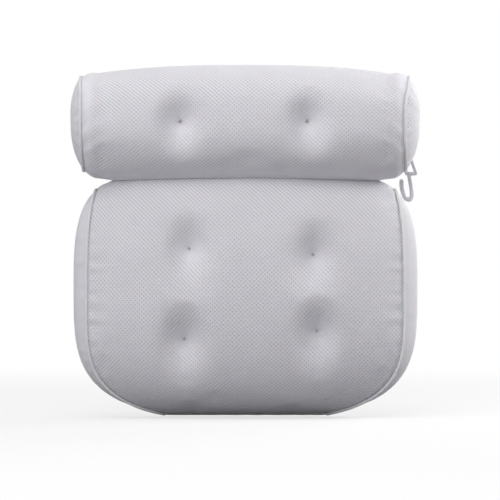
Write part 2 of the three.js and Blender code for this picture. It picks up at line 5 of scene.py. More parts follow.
import bmesh
import bpy
import numpy as np
from bpy.props import FloatProperty, FloatVectorProperty, PointerProperty
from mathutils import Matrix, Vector


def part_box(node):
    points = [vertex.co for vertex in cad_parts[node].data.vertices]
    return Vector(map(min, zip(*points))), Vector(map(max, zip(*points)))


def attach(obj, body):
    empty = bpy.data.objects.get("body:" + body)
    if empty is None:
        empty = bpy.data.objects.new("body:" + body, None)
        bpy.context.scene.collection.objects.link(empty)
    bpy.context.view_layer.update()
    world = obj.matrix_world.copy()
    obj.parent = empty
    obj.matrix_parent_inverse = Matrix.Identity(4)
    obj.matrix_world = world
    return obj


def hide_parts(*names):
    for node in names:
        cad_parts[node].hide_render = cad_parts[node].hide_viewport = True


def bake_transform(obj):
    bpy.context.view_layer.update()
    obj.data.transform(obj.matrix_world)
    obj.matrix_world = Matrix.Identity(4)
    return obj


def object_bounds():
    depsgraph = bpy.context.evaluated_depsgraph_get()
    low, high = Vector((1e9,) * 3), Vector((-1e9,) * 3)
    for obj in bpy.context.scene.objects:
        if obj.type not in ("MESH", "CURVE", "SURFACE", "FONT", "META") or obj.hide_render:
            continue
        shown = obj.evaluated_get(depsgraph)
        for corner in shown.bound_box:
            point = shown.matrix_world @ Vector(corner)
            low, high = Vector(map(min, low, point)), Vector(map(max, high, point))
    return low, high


bl_info = {
    "name": "Bath Pillow",
    "version": (1, 0, 0),
    "blender": (4, 5, 0),
    "location": "View3D > Sidebar > Bath Pillow",
    "description": "Sews the covers, cups and hook of a bath pillow over its packed part",
    "category": "Object",
}

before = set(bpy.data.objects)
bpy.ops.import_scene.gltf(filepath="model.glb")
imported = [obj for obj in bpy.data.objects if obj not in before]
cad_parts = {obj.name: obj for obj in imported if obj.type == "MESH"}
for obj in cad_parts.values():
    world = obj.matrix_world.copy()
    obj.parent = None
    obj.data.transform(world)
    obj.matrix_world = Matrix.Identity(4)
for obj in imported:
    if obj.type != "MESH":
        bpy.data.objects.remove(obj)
CAD_BOX = [list(corner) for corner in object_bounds()]
MM = 0.001

# Sizes of the part are in millimetres: x to the right, y towards the wall, z up
FIT = 0.3
COVER = 3.0
UNDER = COVER + FIT
BACK = -15.0
BASE = BACK - UNDER

# Pad: outline from the front, depth, swell of the sides and fullness of the corners
PAD_TOP, PAD_BOTTOM, PAD_WAIST = 114.0, -125.0, 8.0
PAD_WIDTH, PAD_HEAD_INSET, PAD_FOOT_INSET = 353.0, 23.5, 93.5
PAD_DEPTH, PAD_SIDE_DEPTH, PAD_EDGE_DEPTH = 80.0, 54.0, 8.0
PAD_BULGE, PAD_BULGE_POWER, PAD_CROWN_POWER, PAD_LEAN_POWER = 15.5, 1.8, 2.5, 4
PAD_CORNER_POWER, PAD_FOOT_FULLNESS = 3.0, 3.75
PAD_TOP_POWER, PAD_FOOT_POWER = 3.4, 2.6
PAD_CORNER_DROP, CORNER_SIDE_POWER, CORNER_TOP_POWER = 9.0, 14, 3
PAD_BELLY, BELLY_MIDDLE, BELLY_HALF = 6.5, -5.0, 118.0

# Pad's back: swell between the cups, gathers and rim, and where each sets in and is full
BACK_SWELL, BACK_GATHER, BACK_RIM_DROP, BACK_GAP = 3.6, 0.9, 1.6, 0.3 * FIT
BACK_FROM_CUP, BACK_FROM_EDGE, BACK_FROM_FOOT, BACK_TO_STRIP = (9, 42), (4, 60), 45, (48, 76)
RIM_SIDE_POWER, RIM_END_POWER = 30, 60

# Short folds round a cup's seat; each set of rays has a share, a count and a shift from cup to cup
STAR_HEIGHT, STAR_RADIUS, STAR_WIDTH, STAR_SEAT = 0.7, 17, 11, (8, 12)
STAR_RAYS = ((1.0, 7, 1.0), (0.6, 11, 2.3))

# Roll: length, section and how its ends drop, rise, set back and bulge
ROLL_LENGTH, ROLL_HEIGHT, ROLL_DEPTH = 328.0, 118.0, 98.0
ROLL_HALF = ROLL_LENGTH / 2
ROLL_BACK_POWER, ROLL_FRONT_POWER, ROLL_REAR_SHARE = 3.6, 2.3, 0.42
ROLL_END_BULGE, ROLL_BULGE_POWER = 14.0, 2.5
ROLL_END_DROP, ROLL_DROP_POWER = 11.5, 3.2
ROLL_END_RISE, ROLL_RISE_POWER = 9.0, 12
ROLL_END_SETBACK, ROLL_SETBACK_POWER = 16.0, 3
ROLL_BACK_RELIEF, ROLL_RELIEF_POWER = 3.0, 4
ROLL_MIDDLE = PAD_TOP + 2 * FIT + ROLL_HEIGHT / 2
ROLL_AXIS_Y = BACK - 0.45 * ROLL_DEPTH
ROLL_SLACK, SLACK_FROM_END, SLACK_FROM_MIDDLE = 1.6, (4, 24), (-20, 15)
ROLL_PUFF, PUFF_FROM_END, PUFF_WIDTH, PUFF_ROUND = 1.3, 11, 6, (0.1, 0.2)
ROLL_JOIN_FADE, ROLL_FRONT_Y = 30, -60
END_POLE, END_RADIUS = 0.02, 45
FOLD_HEIGHT = PAD_TOP + FIT

# Lean of the roll's end seams at the foot, the middle and the top, and the heights between
LEFT_SEAM = {"lean": (0.7, 1.8, 4.2), "lower": (118, 170), "upper": (190, 236)}
RIGHT_SEAM = {"lean": (-0.7, -3.5, 4.0), "lower": (115, 160), "upper": (182, 236)}
SEAM_LEAN_POWER = 8

# Crease: how far each cushion swells towards the other, over what length and how unevenly
PAD_CREASE_RISE, PAD_CREASE_FORWARD, ROLL_CREASE_RISE = 11.0, 5.0, -1.5
CREASE_HALF, CREASE_POWER = 156.0, 7
CREASE_WAVES = ((0.14, 21, 0.8), (0.1, 41, 2.1))
CREASE_LIP = {"depth": (30, 58), "height": (34, 2)}
CREASE_SHOULDER = {"depth": (40, 70), "height": (52, 14)}

# Tufts: place of each tie from the front, and the form of the hollow round it
ROLL_TUFTS = {"roll_left": (-66.0, ROLL_MIDDLE), "roll_right": (62.0, ROLL_MIDDLE)}
PAD_TUFTS = {
    "pad_lower_left": (-62.0, -46.0),
    "pad_lower_right": (72.0, -38.0),
    "pad_upper_left": (-57.0, 45.0),
    "pad_upper_right": (68.0, 39.0),
}
ALL_TUFTS = {**ROLL_TUFTS, **PAD_TUFTS}
TUFT_NARROWING, TUFT_POINT_POWER, TUFT_ROUND_SHARE, TUFT_TIP = 1.35, 1.5, 0.68, 0.5
TIE_REACH, TIE_ARCH, TIE_DIVE, TIE_INSET = 2.3, 0.7, 2.2, 1.2
TIE_TURNS, TIE_TURN_STEP = (0.35, 1.75), 0.4

# Seams: width of the groove, and the seeds of the uneven gathers along each one
SEAM_GROOVE = 3.2
GUSSET_PUCKER, GUSSET_DIP = 1.4, 1.0
END_PUCKER, END_DIP = 1.3, 0.8
GATHER_WAVES, GATHER_SHORTEST, GATHER_LONGEST, GATHER_SHARE = 7, 9, 26, 3
SEEDS = {
    "pad_sides": 3, "pad_ends": 4, "pad_back": 11, "gusset_left": 10, "gusset_right": 12,
    "roll": 21, "roll_end_left": 30, "roll_end_right": 32, "strip": 41,
    "roll_welt_left": 40, "roll_welt_right": 42,
    "pad_welt_left": 50, "pad_welt_right": 52, "pad_back_welt": 61,
}

# Welts: how deep they sit in their seams, and how uneven they are
WELT_SINK, WELT_REST, WELT_OUT, RIM_SINK = 0.7, 0.5, 0.8, 0.4
WELT_WOBBLE, WELT_JOIN = 0.05, 20

# Fold strip and its stitches
STRIP_WIDTH, STRIP_BELOW, STRIP_ABOVE, HEM = 260.0, 34.0, 38.0, 5.0
STRIP_THICKNESS, STRIP_LIFT, STRIP_BEND = 1.4, 1.6, 7
HEM_RIDGE, HEM_TURN, FOLD_DIP, FOLD_WIDTH = 0.6, 0.8, 1.2, 9
HEM_WIDTH, HEM_EDGE = 1.4, 3
STRIP_CREASE, STRIP_CREASE_FULL, STRIP_SLACK, STRIP_SLACK_FULL = 0.2, 12, 0.3, 16
STRIP_COLUMNS, STRIP_ROWS = 261, 73
STITCH_PITCH, STITCH_HALF, STITCH_RADIUS, STITCH_ARCH, STITCH_LIFT = 5.0, 1.7, 0.48, 0.5, 1.15

# Suction cups: radii of the rim, the waist, the shoulder, the neck and the head
CUP_RIM, CUP_WAIST, CUP_SHOULDER, CUP_NECK, CUP_HEAD = 26.0, 7.4, 8.5, 4.5, 9.0
CUP_HEAD_THICKNESS = 4.0

# Hook and cord loop
HOOK_X, HOOK_Y, EYE_BASE_HEIGHT, LOOP_X = 169.5, -11.0, 122.6, 166.0
EYE_RIGHT, EYE_LEFT, EYE_HEIGHT = 7.0, 3.0, 15.5
HOOK_DROP, HOOK_GAPE, HOOK_TIP = 27.0, 10.6, 7.8
FILLET_LOSS, HOOK_VOXEL = 0.4, 0.34

# Grids: rows and columns of the panels, and how much they crowd towards the seams
PAD_ROWS, PAD_COLUMNS, GUSSET_COLUMNS = 118, 121, 19
ROLL_STATIONS, ROLL_STEPS, END_RINGS = 119, 141, 52
WELT_STEPS, RIM_STEPS = 180, 460
CROWDING = 0.86
EDGE_STEPS = (0.33, 0.66, 1)
WEAVE_START = 60
SPAN_POINTS = 24
CUP_SIDES = 96
CAP_RINGS = np.array([0.97, 0.7])
SAME_PLACE = 1e-6

# Cloth: pressure inside, frames to settle, the most that a point moves in metres, spare cloth
CLOTH_PRESSURE, CLOTH_FRAMES, CLOTH_CAP, CLOTH_SLACK = 2.0, 14, 0.0035, 0.002
TIE_GRIP, GRIP_FADE = 2.5, 5
HELD_DEPTH, HELD_FADE = 6, 4

# Cloth drawn in: distances from a tie and from an end seam, and the seam's share
DRAWN_BY_TIE, DRAWN_BY_SEAM, SEAM_DRAW = (4, 24), (15, 4), 0.75

# Stage, in metres and watts
FLOOR_SIZE, FLOOR_GAP = 6, 0.0005
CAMERA_PLACE, CAMERA_LENS, CAMERA_SENSOR = (0.0046, -2.894, 0.0434), 200.0, 36.0
LAMPS = {
    "softbox_above": {
        "place": (-0.1, -1.05, 1.5), "aim": (0, -0.05, 0.1), "width": 1.6, "watts": 13.7,
        "colour": (1.0, 1.0, 1.0),
    },
    "softbox_front": {
        "place": (-0.6, -2.5, 0.9), "aim": (0, -0.05, 0.08), "width": 1.4, "watts": 12.2,
        "colour": (1.0, 0.99, 0.985),
    },
    "softbox_left": {
        "place": (-1.8, -0.8, 0.55), "aim": (0, -0.05, 0.08), "width": 1.2, "watts": 7.0,
        "colour": (0.97, 0.98, 1.0),
    },
    "softbox_right": {
        "place": (0.9, 0.0, 0.45), "aim": (0.15, -0.05, 0.15), "width": 0.5, "watts": 3.9,
        "colour": (1.0, 0.985, 0.97),
    },
    "softbox_back": {
        "place": (1.5, 1.8, 0.7), "aim": (0, 0, 0.06), "width": 1.2, "watts": 18.0,
        "colour": (1.0, 1.0, 1.0),
    },
}


class PillowSizes(bpy.types.PropertyGroup):
    """Sizes of the sewn details"""

    tuft_depth: FloatProperty(
        name="Tuft depth", description="How far a tie draws the cover in", default=0.017, unit="LENGTH"
    )
    tuft_reach: FloatProperty(
        name="Tuft reach", description="How far a tuft's hollow spreads", default=0.038, unit="LENGTH"
    )
    mesh_pitch: FloatProperty(
        name="Mesh pitch", description="Repeat of the holes in the spacer mesh", default=0.0044, unit="LENGTH"
    )
    knit_pitch: FloatProperty(
        name="Knit pitch", description="Repeat of the ribs in the plain knit", default=0.0016, unit="LENGTH"
    )
    welt: FloatProperty(
        name="Welt", description="Thickness of the rolled edge along a seam", default=0.003, unit="LENGTH"
    )
    seam_dip: FloatProperty(
        name="Seam dip", description="How far the cover sinks beside a seam", default=0.0009, unit="LENGTH"
    )
    pucker: FloatProperty(
        name="Pucker", description="Height of the gathers along a seam", default=0.0006, unit="LENGTH"
    )
    thread: FloatProperty(
        name="Thread", description="Thickness of the tie thread", default=0.0013, unit="LENGTH"
    )
    cord: FloatProperty(
        name="Loop cord", description="Thickness of the hanging loop", default=0.002, unit="LENGTH"
    )
    rod: FloatProperty(
        name="Hook rod", description="Thickness of the hook's shank", default=0.0038, unit="LENGTH"
    )
    eye_rod: FloatProperty(
        name="Eye rod", description="Thickness of the hook's eye", default=0.003, unit="LENGTH"
    )


class PillowColours(bpy.types.PropertyGroup):
    """Colours of the materials"""

    mesh: FloatVectorProperty(
        name="Spacer mesh", description="Face of the mesh", subtype="COLOR", default=(0.82, 0.81, 0.85)
    )
    hole: FloatVectorProperty(
        name="Mesh holes", description="Shaded depth of the holes", subtype="COLOR",
        default=(0.61, 0.60, 0.635),
    )
    knit: FloatVectorProperty(
        name="Plain knit", description="Gussets and back", subtype="COLOR", default=(0.82, 0.81, 0.845)
    )
    welt: FloatVectorProperty(
        name="Welts", description="Rolled seam edges", subtype="COLOR", default=(0.88, 0.87, 0.875)
    )
    cup: FloatVectorProperty(
        name="Cups", description="Milky soft vinyl", subtype="COLOR", default=(0.94, 0.955, 0.96)
    )
    thread: FloatVectorProperty(
        name="Tie thread", description="Waxed thread of the tufts", subtype="COLOR",
        default=(0.55, 0.505, 0.45),
    )
    hook: FloatVectorProperty(
        name="Hook", description="Moulded plastic", subtype="COLOR", default=(0.78, 0.765, 0.81)
    )
    cord: FloatVectorProperty(
        name="Loop cord", description="Braided cord", subtype="COLOR", default=(0.86, 0.85, 0.86)
    )


def sizes():
    return bpy.context.scene.pillow_sizes


def colours():
    return bpy.context.scene.pillow_colours


def body_of(name):
    """The body that a tuft's tie and cup ride on."""
    return "roll" if name.startswith("roll") else "pad"


# Curves and surfaces

def power(value, exponent):
    """Power of a number's size, with its sign kept."""
    return np.sign(value) * np.abs(value) ** exponent


def mix(a, b, t):
    """Value between a, where t is 0, and b, where t is 1."""
    return a + (b - a) * t


def unit(v):
    """Vectors of length 1."""
    return v / np.maximum(np.linalg.norm(v, axis=-1, keepdims=True), 1e-12)


def step(value, low, high):
    """Smooth rise from 0 at low to 1 at high."""
    t = np.clip((value - low) / (high - low), 0, 1)
    return t * t * (3 - 2 * t)


def hump(distance, width):
    """Smooth bump that is 1 at no distance."""
    return np.exp(-((distance / width) ** 2))


def to_tuft(x, z, tufts):
    """Distance to the nearest tie, seen from the front."""
    return np.min([np.hypot(x - tx, z - tz) for tx, tz in tufts.values()], axis=0)


def dimple(x, z, tufts):
    """Depth of the hollows that the ties pull in: pointed above each tie and rounded below it."""
    depth, reach = sizes().tuft_depth / MM, sizes().tuft_reach / MM
    total = np.zeros_like(np.asarray(x, float) + np.asarray(z, float))
    for tx, tz in tufts.values():
        away = np.hypot(TUFT_NARROWING * (x - tx), z - tz)
        above = 0.5 + 0.5 * (z - tz) / np.maximum(away, TUFT_TIP)
        pointed = np.maximum(1 - away / reach, 0) ** TUFT_POINT_POWER
        rounded = hump(away, TUFT_ROUND_SHARE * reach)
        total = total + depth * mix(rounded, pointed, above)
    return total


def belly(x, z):
    """How far the stuffing pushes the middle of the pad's front out."""
    upright = np.clip(1 - ((z - BELLY_MIDDLE) / BELLY_HALF) ** 2, 0, 1)
    return PAD_BELLY * upright * np.clip(1 - (x / pad_half(z)) ** 2, 0, 1)


def pad_profile(angle):
    """Height, share of the depth and side swell of the pad, from its foot at -90 to its top at 90 degrees."""
    up = angle > 0
    rise = np.where(up, PAD_TOP - PAD_WAIST, PAD_WAIST - PAD_BOTTOM)
    squareness = np.where(up, PAD_TOP_POWER, PAD_FOOT_POWER)
    z = PAD_WAIST + rise * power(np.sin(angle), 2 / squareness)
    level = np.maximum(np.cos(angle), 0)
    return z, level ** (2 / squareness), PAD_BULGE * level**PAD_BULGE_POWER


def pad_half(z):
    """Half the pad's width at a height."""
    up = z > PAD_WAIST
    rise = np.where(up, PAD_TOP - PAD_WAIST, PAD_WAIST - PAD_BOTTOM)
    end = 1 - 2 * np.where(up, PAD_HEAD_INSET, PAD_FOOT_INSET) / PAD_WIDTH
    fullness = np.where(up, PAD_CORNER_POWER, PAD_FOOT_FULLNESS)
    drop = np.minimum(np.abs(z - PAD_WAIST) / rise, 1) ** fullness
    return (PAD_WIDTH / 2) * (1 - (1 - end**PAD_CORNER_POWER) * drop) ** (1 / PAD_CORNER_POWER)


def pad_outward(z):
    """Direction out of the pad's outline at a height: its x and z shares."""
    low, high = np.maximum(z - 1, PAD_BOTTOM), np.minimum(z + 1, PAD_TOP)
    across, up = high - low, pad_half(low) - pad_half(high)
    long = np.hypot(across, up)
    return across / long, up / long


def pad_front(share, angle, tufted=True):
    """Points of the pad's front; share runs from -1 to 1 between the side seams."""
    z, depth, bulge = pad_profile(angle)
    side_x, side_z = pad_outward(z)
    x = share * (pad_half(z) - side_x * bulge)
    out = np.abs(share)
    crown = mix(PAD_DEPTH, PAD_SIDE_DEPTH, out**PAD_CROWN_POWER) - UNDER - PAD_EDGE_DEPTH
    corner = PAD_CORNER_DROP * out**CORNER_SIDE_POWER * np.maximum(np.sin(angle), 0) ** CORNER_TOP_POWER
    height = z - side_z * bulge * out**PAD_LEAN_POWER - corner
    pull = dimple(x, height, PAD_TUFTS) if tufted else 0
    y = BASE - PAD_EDGE_DEPTH - crown * depth + pull
    return np.stack([x, y, height], -1)


def pad_seam(sign, angles):
    """A side seam of the pad's front, and the direction out of the pad along it."""
    seam = pad_front(np.array([[float(sign)]]), angles[:, None])[:, 0]
    side_x, side_z = pad_outward(pad_profile(angles)[0])
    return seam, np.stack([sign * side_x, 0 * side_x, side_z], -1)


def pad_angles(count):
    """Angles that cut the pad's profile into even steps."""
    angle = np.linspace(-math.pi / 2, math.pi / 2, 4001)
    z, depth, _ = pad_profile(angle)
    return evenly(np.stack([z, 60 * depth], -1), angle, count)


def roll_section(angle):
    """The roll's section, flat behind and round in front: which half, depth share and height share."""
    rear = np.cos(angle) > 0
    squareness = np.where(rear, ROLL_BACK_POWER, ROLL_FRONT_POWER)
    side = np.where(rear, ROLL_REAR_SHARE, 1 - ROLL_REAR_SHARE)
    return rear, side * power(np.cos(angle), 2 / squareness), power(np.sin(angle), 2 / squareness)


def roll_point(x, angle, tufted=True):
    """Points of the roll's cover; angle 0 is the back and 90 degrees the top."""
    share = np.minimum(np.abs(x) / ROLL_HALF, 1)
    rear, reach, rise = roll_section(angle)
    back = BACK - ROLL_BACK_RELIEF * share**ROLL_RELIEF_POWER
    depth = ROLL_DEPTH - (ROLL_END_SETBACK + ROLL_BACK_RELIEF) * share**ROLL_SETBACK_POWER
    top = ROLL_HEIGHT / 2 - ROLL_END_DROP * share**ROLL_DROP_POWER
    bottom = ROLL_HEIGHT / 2 - ROLL_END_RISE * share**ROLL_RISE_POWER
    z = ROLL_MIDDLE + np.where(np.sin(angle) > 0, top, bottom) * rise
    pull = np.where(rear, 0, dimple(x, z, ROLL_TUFTS) * np.abs(np.cos(angle))) if tufted else 0
    y = back - ROLL_REAR_SHARE * depth + reach * depth + pull
    return np.stack([x + 0 * angle, y, z], -1)


def seam_lean(z, lean, lower, upper):
    """How far an end seam of the roll leans out at a height."""
    foot, middle, top = lean
    return mix(mix(foot, middle, step(z, *lower)), top, step(z, *upper))


def sewn_roll(x, angle, tufted=True):
    """The roll's cover with its two end seams leaning out as they are sewn."""
    points = roll_point(x, angle, tufted)
    x, z = points[..., 0], points[..., 2]
    lean = np.where(x < 0, -seam_lean(z, **LEFT_SEAM), seam_lean(z, **RIGHT_SEAM))
    lean = lean * (np.abs(x) / ROLL_HALF) ** SEAM_LEAN_POWER
    return points + lean[..., None] * np.array([1, 0, 0])


def in_crease(y, z, depth, height):
    """1 in the mouth of the crease, falling to 0 away from it."""
    far, near = height
    return step(-y, *depth) * step(-np.abs(z - FOLD_HEIGHT), -far, -near)


def leant(grid, up, forward):
    """Lets a cushion swell towards its neighbour along the crease, most in the middle of its length."""
    x, y, z = np.moveaxis(grid, -1, 0)
    wave = 1 + sum(share * np.sin(x / run + start) for share, run, start in CREASE_WAVES)
    length = np.clip(1 - (np.abs(x) / CREASE_HALF) ** CREASE_POWER, 0, 1)
    moved = grid.copy()
    moved[..., 1] -= forward * length * in_crease(y, z, **CREASE_SHOULDER)
    moved[..., 2] += up * wave * length * in_crease(y, z, **CREASE_LIP)
    return moved


def crowded(count):
    """Places from -1 to 1 that lie closer together towards both ends."""
    quarter = math.pi / 2 * CROWDING
    return np.sin(np.linspace(-1, 1, count) * quarter) / math.sin(quarter)


def evenly(curve, parameter, count):
    """Parameter values that cut a dense curve into pieces of equal length."""
    run = np.concatenate([[0], np.cumsum(np.linalg.norm(np.diff(curve, axis=0), axis=1))])
    return np.interp(np.linspace(0, run[-1], count), run, parameter)


def even_points(curve, count):
    """Points at equal distances along a dense curve."""
    steps = np.arange(len(curve), dtype=float)
    place = evenly(curve, steps, count)
    return np.stack([np.interp(place, steps, axis) for axis in curve.T], -1)


def smooth_line(points, closed, count):
    """Even points on a smooth curve through a few given ones."""
    points = np.asarray(points, float)
    total = len(points)
    t = np.linspace(0, 1, SPAN_POINTS, endpoint=False)[:, None]
    dense = []
    for k in range(total if closed else total - 1):
        around = [k + j for j in (-1, 0, 1, 2)]
        if closed:
            a, b, c, d = (points[j % total] for j in around)
        else:
            a, b, c, d = (points[min(max(j, 0), total - 1)] for j in around)
        curve = 2 * b + (c - a) * t + (2 * a - 5 * b + 4 * c - d) * t**2
        dense.append(0.5 * (curve + (3 * b - a - 3 * c + d) * t**3))
    dense = np.concatenate(dense + [points[:1] if closed else points[-1:]])
    return even_points(dense, count + 1)[:-1] if closed else even_points(dense, count)


def arc_lengths(points, axis):
    """Length along one axis of a grid of points, from its first row or column."""
    steps = np.linalg.norm(np.diff(points, axis=axis), axis=-1)
    start = np.zeros_like(np.take(steps, [0], axis=axis))
    return np.concatenate([start, np.cumsum(steps, axis=axis)], axis=axis)


def normals_of(grid):
    """Direction square to a grid at each of its points."""
    return unit(np.cross(np.gradient(grid, axis=1), np.gradient(grid, axis=0)))


def out_of(line, axis, centre):
    """Direction out of a closed line, square to its run and to an axis."""
    ahead = unit(np.roll(line, -1, 0) - np.roll(line, 1, 0))
    out = np.cross(ahead, axis)
    return out * np.sign((out * (line - centre)).sum(-1, keepdims=True))


# Seams

def gathers(seam, place):
    """Uneven gathers at places along a seam."""
    rng = np.random.default_rng(SEEDS[seam])
    waves = rng.uniform(GATHER_SHORTEST, GATHER_LONGEST, GATHER_WAVES)
    phases = rng.uniform(0, 2 * math.pi, GATHER_WAVES)
    return sum(np.sin(2 * math.pi * place / w + p) for w, p in zip(waves, phases)) / GATHER_SHARE


def gather_fade(distance, fade, rise=4):
    """Height of the gathers at a distance from their seam: none in the seam, most just beside it."""
    return np.exp(-distance / fade) * np.minimum(distance / rise, 1)


def groove(distance):
    """Depth of the groove at a distance from a seam."""
    return hump(distance, SEAM_GROOVE)


def grip(distance, full=0):
    """How firmly a tie or seam holds the cloth at a distance from it."""
    return np.clip(1 - (distance - full) / GRIP_FADE, 0, 1)


# Meshes

def link(obj):
    """Puts an object into the scene."""
    bpy.context.scene.collection.objects.link(obj)
    return obj


def cells(index):
    """The four corners of each cell in a grid of numbers."""
    return np.stack([index[:-1, :-1], index[:-1, 1:], index[1:, 1:], index[1:, :-1]], -1)


def grid_object(name, grid, uv, around=False):
    """Smooth mesh over a grid of points in millimetres; around closes its columns into a ring."""
    rows, columns = grid.shape[:2]
    used = columns - 1 if around else columns
    index = np.arange(rows * used).reshape(rows, used)
    if around:
        index = np.concatenate([index, index[:, :1]], 1)
    mesh = bpy.data.meshes.new(name)
    points = grid[:, :used].reshape(-1, 3) * MM
    mesh.from_pydata(points.tolist(), [], cells(index).reshape(-1, 4).tolist())
    corners = cells(np.arange(rows * columns).reshape(rows, columns)).reshape(-1)
    layer = mesh.uv_layers.new(name="fabric")
    layer.data.foreach_set("uv", (uv.reshape(-1, 2)[corners] * MM).astype(np.float32).ravel())
    mesh.polygons.foreach_set("use_smooth", [True] * len(mesh.polygons))
    mesh.update()
    return link(bpy.data.objects.new(name, mesh))


def points_of(obj):
    """Points of a mesh, in metres."""
    points = np.empty(len(obj.data.vertices) * 3, np.float32)
    obj.data.vertices.foreach_get("co", points)
    return points.reshape(-1, 3)


def outward(obj, centre):
    """Turns the faces of a panel so that they look away from a point inside it."""
    middle = Vector(centre) * MM
    total = sum((p.center - middle).dot(p.normal) * p.area for p in obj.data.polygons)
    if total < 0:
        obj.data.flip_normals()
    return obj


def tube_object(name, line, radius, sides=10, closed=False):
    """Round tube along points in millimetres, with lengthways and round-the-tube coordinates."""
    line = np.asarray(line, float)
    if closed:
        ahead = unit(np.roll(line, -1, 0) - np.roll(line, 1, 0))
    else:
        ahead = unit(np.gradient(line, axis=0))
    side, up = carried_frame(ahead, closed)
    radius = np.broadcast_to(np.asarray(radius, float), (len(line),))
    if not closed:
        line, side, up, radius = rounded_ends(line, ahead, side, up, radius)
    angles = np.linspace(0, 2 * math.pi, sides + 1)
    turn = angles[None, :, None]
    ring = side[:, None] * np.cos(turn) + up[:, None] * np.sin(turn)
    grid = line[:, None] + ring * radius[:, None, None]
    if closed:
        grid = np.concatenate([grid, grid[:1]])
    run = arc_lengths(grid[:, :1], 0)
    across = np.broadcast_to(angles * float(radius.mean()), grid.shape[:2])
    obj = grid_object(name, grid, np.stack([run + 0 * angles, across], -1), around=True)
    if closed:
        weld(obj)
    recalculate(obj, fill=not closed)
    return obj


def carried_frame(ahead, closed):
    """Two directions square to a line, carried along it without twist and closed where it closes."""
    side = np.empty_like(ahead)
    runs_back = abs(ahead[0][1]) >= 0.9
    side[0] = unit(np.cross(ahead[0], [1, 0, 0] if runs_back else [0, 1, 0]))
    for k in range(1, len(ahead)):
        side[k] = unit(side[k - 1] - ahead[k] * np.dot(side[k - 1], ahead[k]))
    up = np.cross(ahead, side)
    if closed:
        twist = math.atan2(np.dot(side[0], up[-1]), np.dot(side[0], side[-1]))
        turn = (twist * np.arange(len(ahead)) / len(ahead))[:, None]
        side, up = side * np.cos(turn) + up * np.sin(turn), up * np.cos(turn) - side * np.sin(turn)
    return side, up


def rounded_ends(line, ahead, side, up, radius):
    """Adds two shrinking rings to each end of a tube, so that it ends in a dome."""
    reach = CAP_RINGS[:, None]
    shrink = np.sqrt(1 - CAP_RINGS**2)
    first = line[:1] - ahead[:1] * radius[0] * reach
    last = line[-1:] + ahead[-1:] * radius[-1] * reach[::-1]
    line = np.concatenate([first, line, last])
    side = np.concatenate([side[[0, 0]], side, side[[-1, -1]]])
    up = np.concatenate([up[[0, 0]], up, up[[-1, -1]]])
    radius = np.concatenate([radius[:1] * shrink, radius, radius[-1:] * shrink[::-1]])
    return line, side, up, radius


@contextmanager
def editing(obj):
    """Opens a piece's mesh for editing and writes it back."""
    bm = bmesh.new()
    bm.from_mesh(obj.data)
    yield bm
    bm.to_mesh(obj.data)
    bm.free()


def weld(obj):
    """Joins points that lie in the same place."""
    with editing(obj) as bm:
        bmesh.ops.remove_doubles(bm, verts=bm.verts, dist=SAME_PLACE)


def recalculate(obj, fill=False):
    """Turns all faces outward, after closing open ends where fill is set."""
    with editing(obj) as bm:
        if fill:
            bmesh.ops.holes_fill(bm, edges=bm.edges, sides=0)
        bmesh.ops.recalc_face_normals(bm, faces=bm.faces)


def close_pole(obj, count):
    """Fills the small ring at the middle of a dome."""
    with editing(obj) as bm:
        bm.verts.ensure_lookup_table()
        layer = bm.loops.layers.uv.active
        face = bm.faces.new([bm.verts[k] for k in range(count)])
        face.smooth = True
        for corner in face.loops:
            corner[layer].uv = (corner.vert.co.y, corner.vert.co.z)
        bmesh.ops.recalc_face_normals(bm, faces=bm.faces)


def join(name, objects):
    """One object from several, with their coordinates kept."""
    bpy.ops.object.select_all(action="DESELECT")
    for obj in objects:
        obj.select_set(True)
    bpy.context.view_layer.objects.active = objects[0]
    bpy.ops.object.join()
    objects[0].name = name
    objects[0].data.name = name
    return objects[0]


def apply_modifiers(obj):
    """Keeps the result of a piece's modifiers in its mesh."""
    bpy.context.view_layer.objects.active = obj
    for name in [modifier.name for modifier in obj.modifiers]:
        bpy.ops.object.modifier_apply(modifier=name)


def refine(obj):
    """Subdivides a panel once and keeps its corners."""
    modifier = obj.modifiers.new("Smooth", "SUBSURF")
    modifier.levels = modifier.render_levels = 1
    modifier.boundary_smooth = "PRESERVE_CORNERS"
    apply_modifiers(obj)


def mark_drawn(obj, tufts, seam_at=None):
    """Notes how far each point of a cover is drawn in by the nearest tie or end seam."""
    x, y, z = points_of(obj).T / MM
    drawn = (1 - step(to_tuft(x, z, tufts), *DRAWN_BY_TIE)) * (y < 2 * BASE)
    if seam_at:
        start, full = (seam_at - distance for distance in DRAWN_BY_SEAM)
        drawn = np.maximum(drawn, SEAM_DRAW * step(np.abs(x), start, full))
    layer = obj.data.attributes.new("drawn_in", "FLOAT", "POINT")
    layer.data.foreach_set("value", drawn.astype(np.float32))


def dress(obj, material, body, slot, *nodes):
    """Gives a piece its finish and its body, and hides the packed parts that it stands for."""
    obj.data.materials.clear()
    obj.data.materials.append(material)
    if body:
        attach(obj, body)
    if nodes:
        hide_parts(*nodes)
    return obj


# Cloth

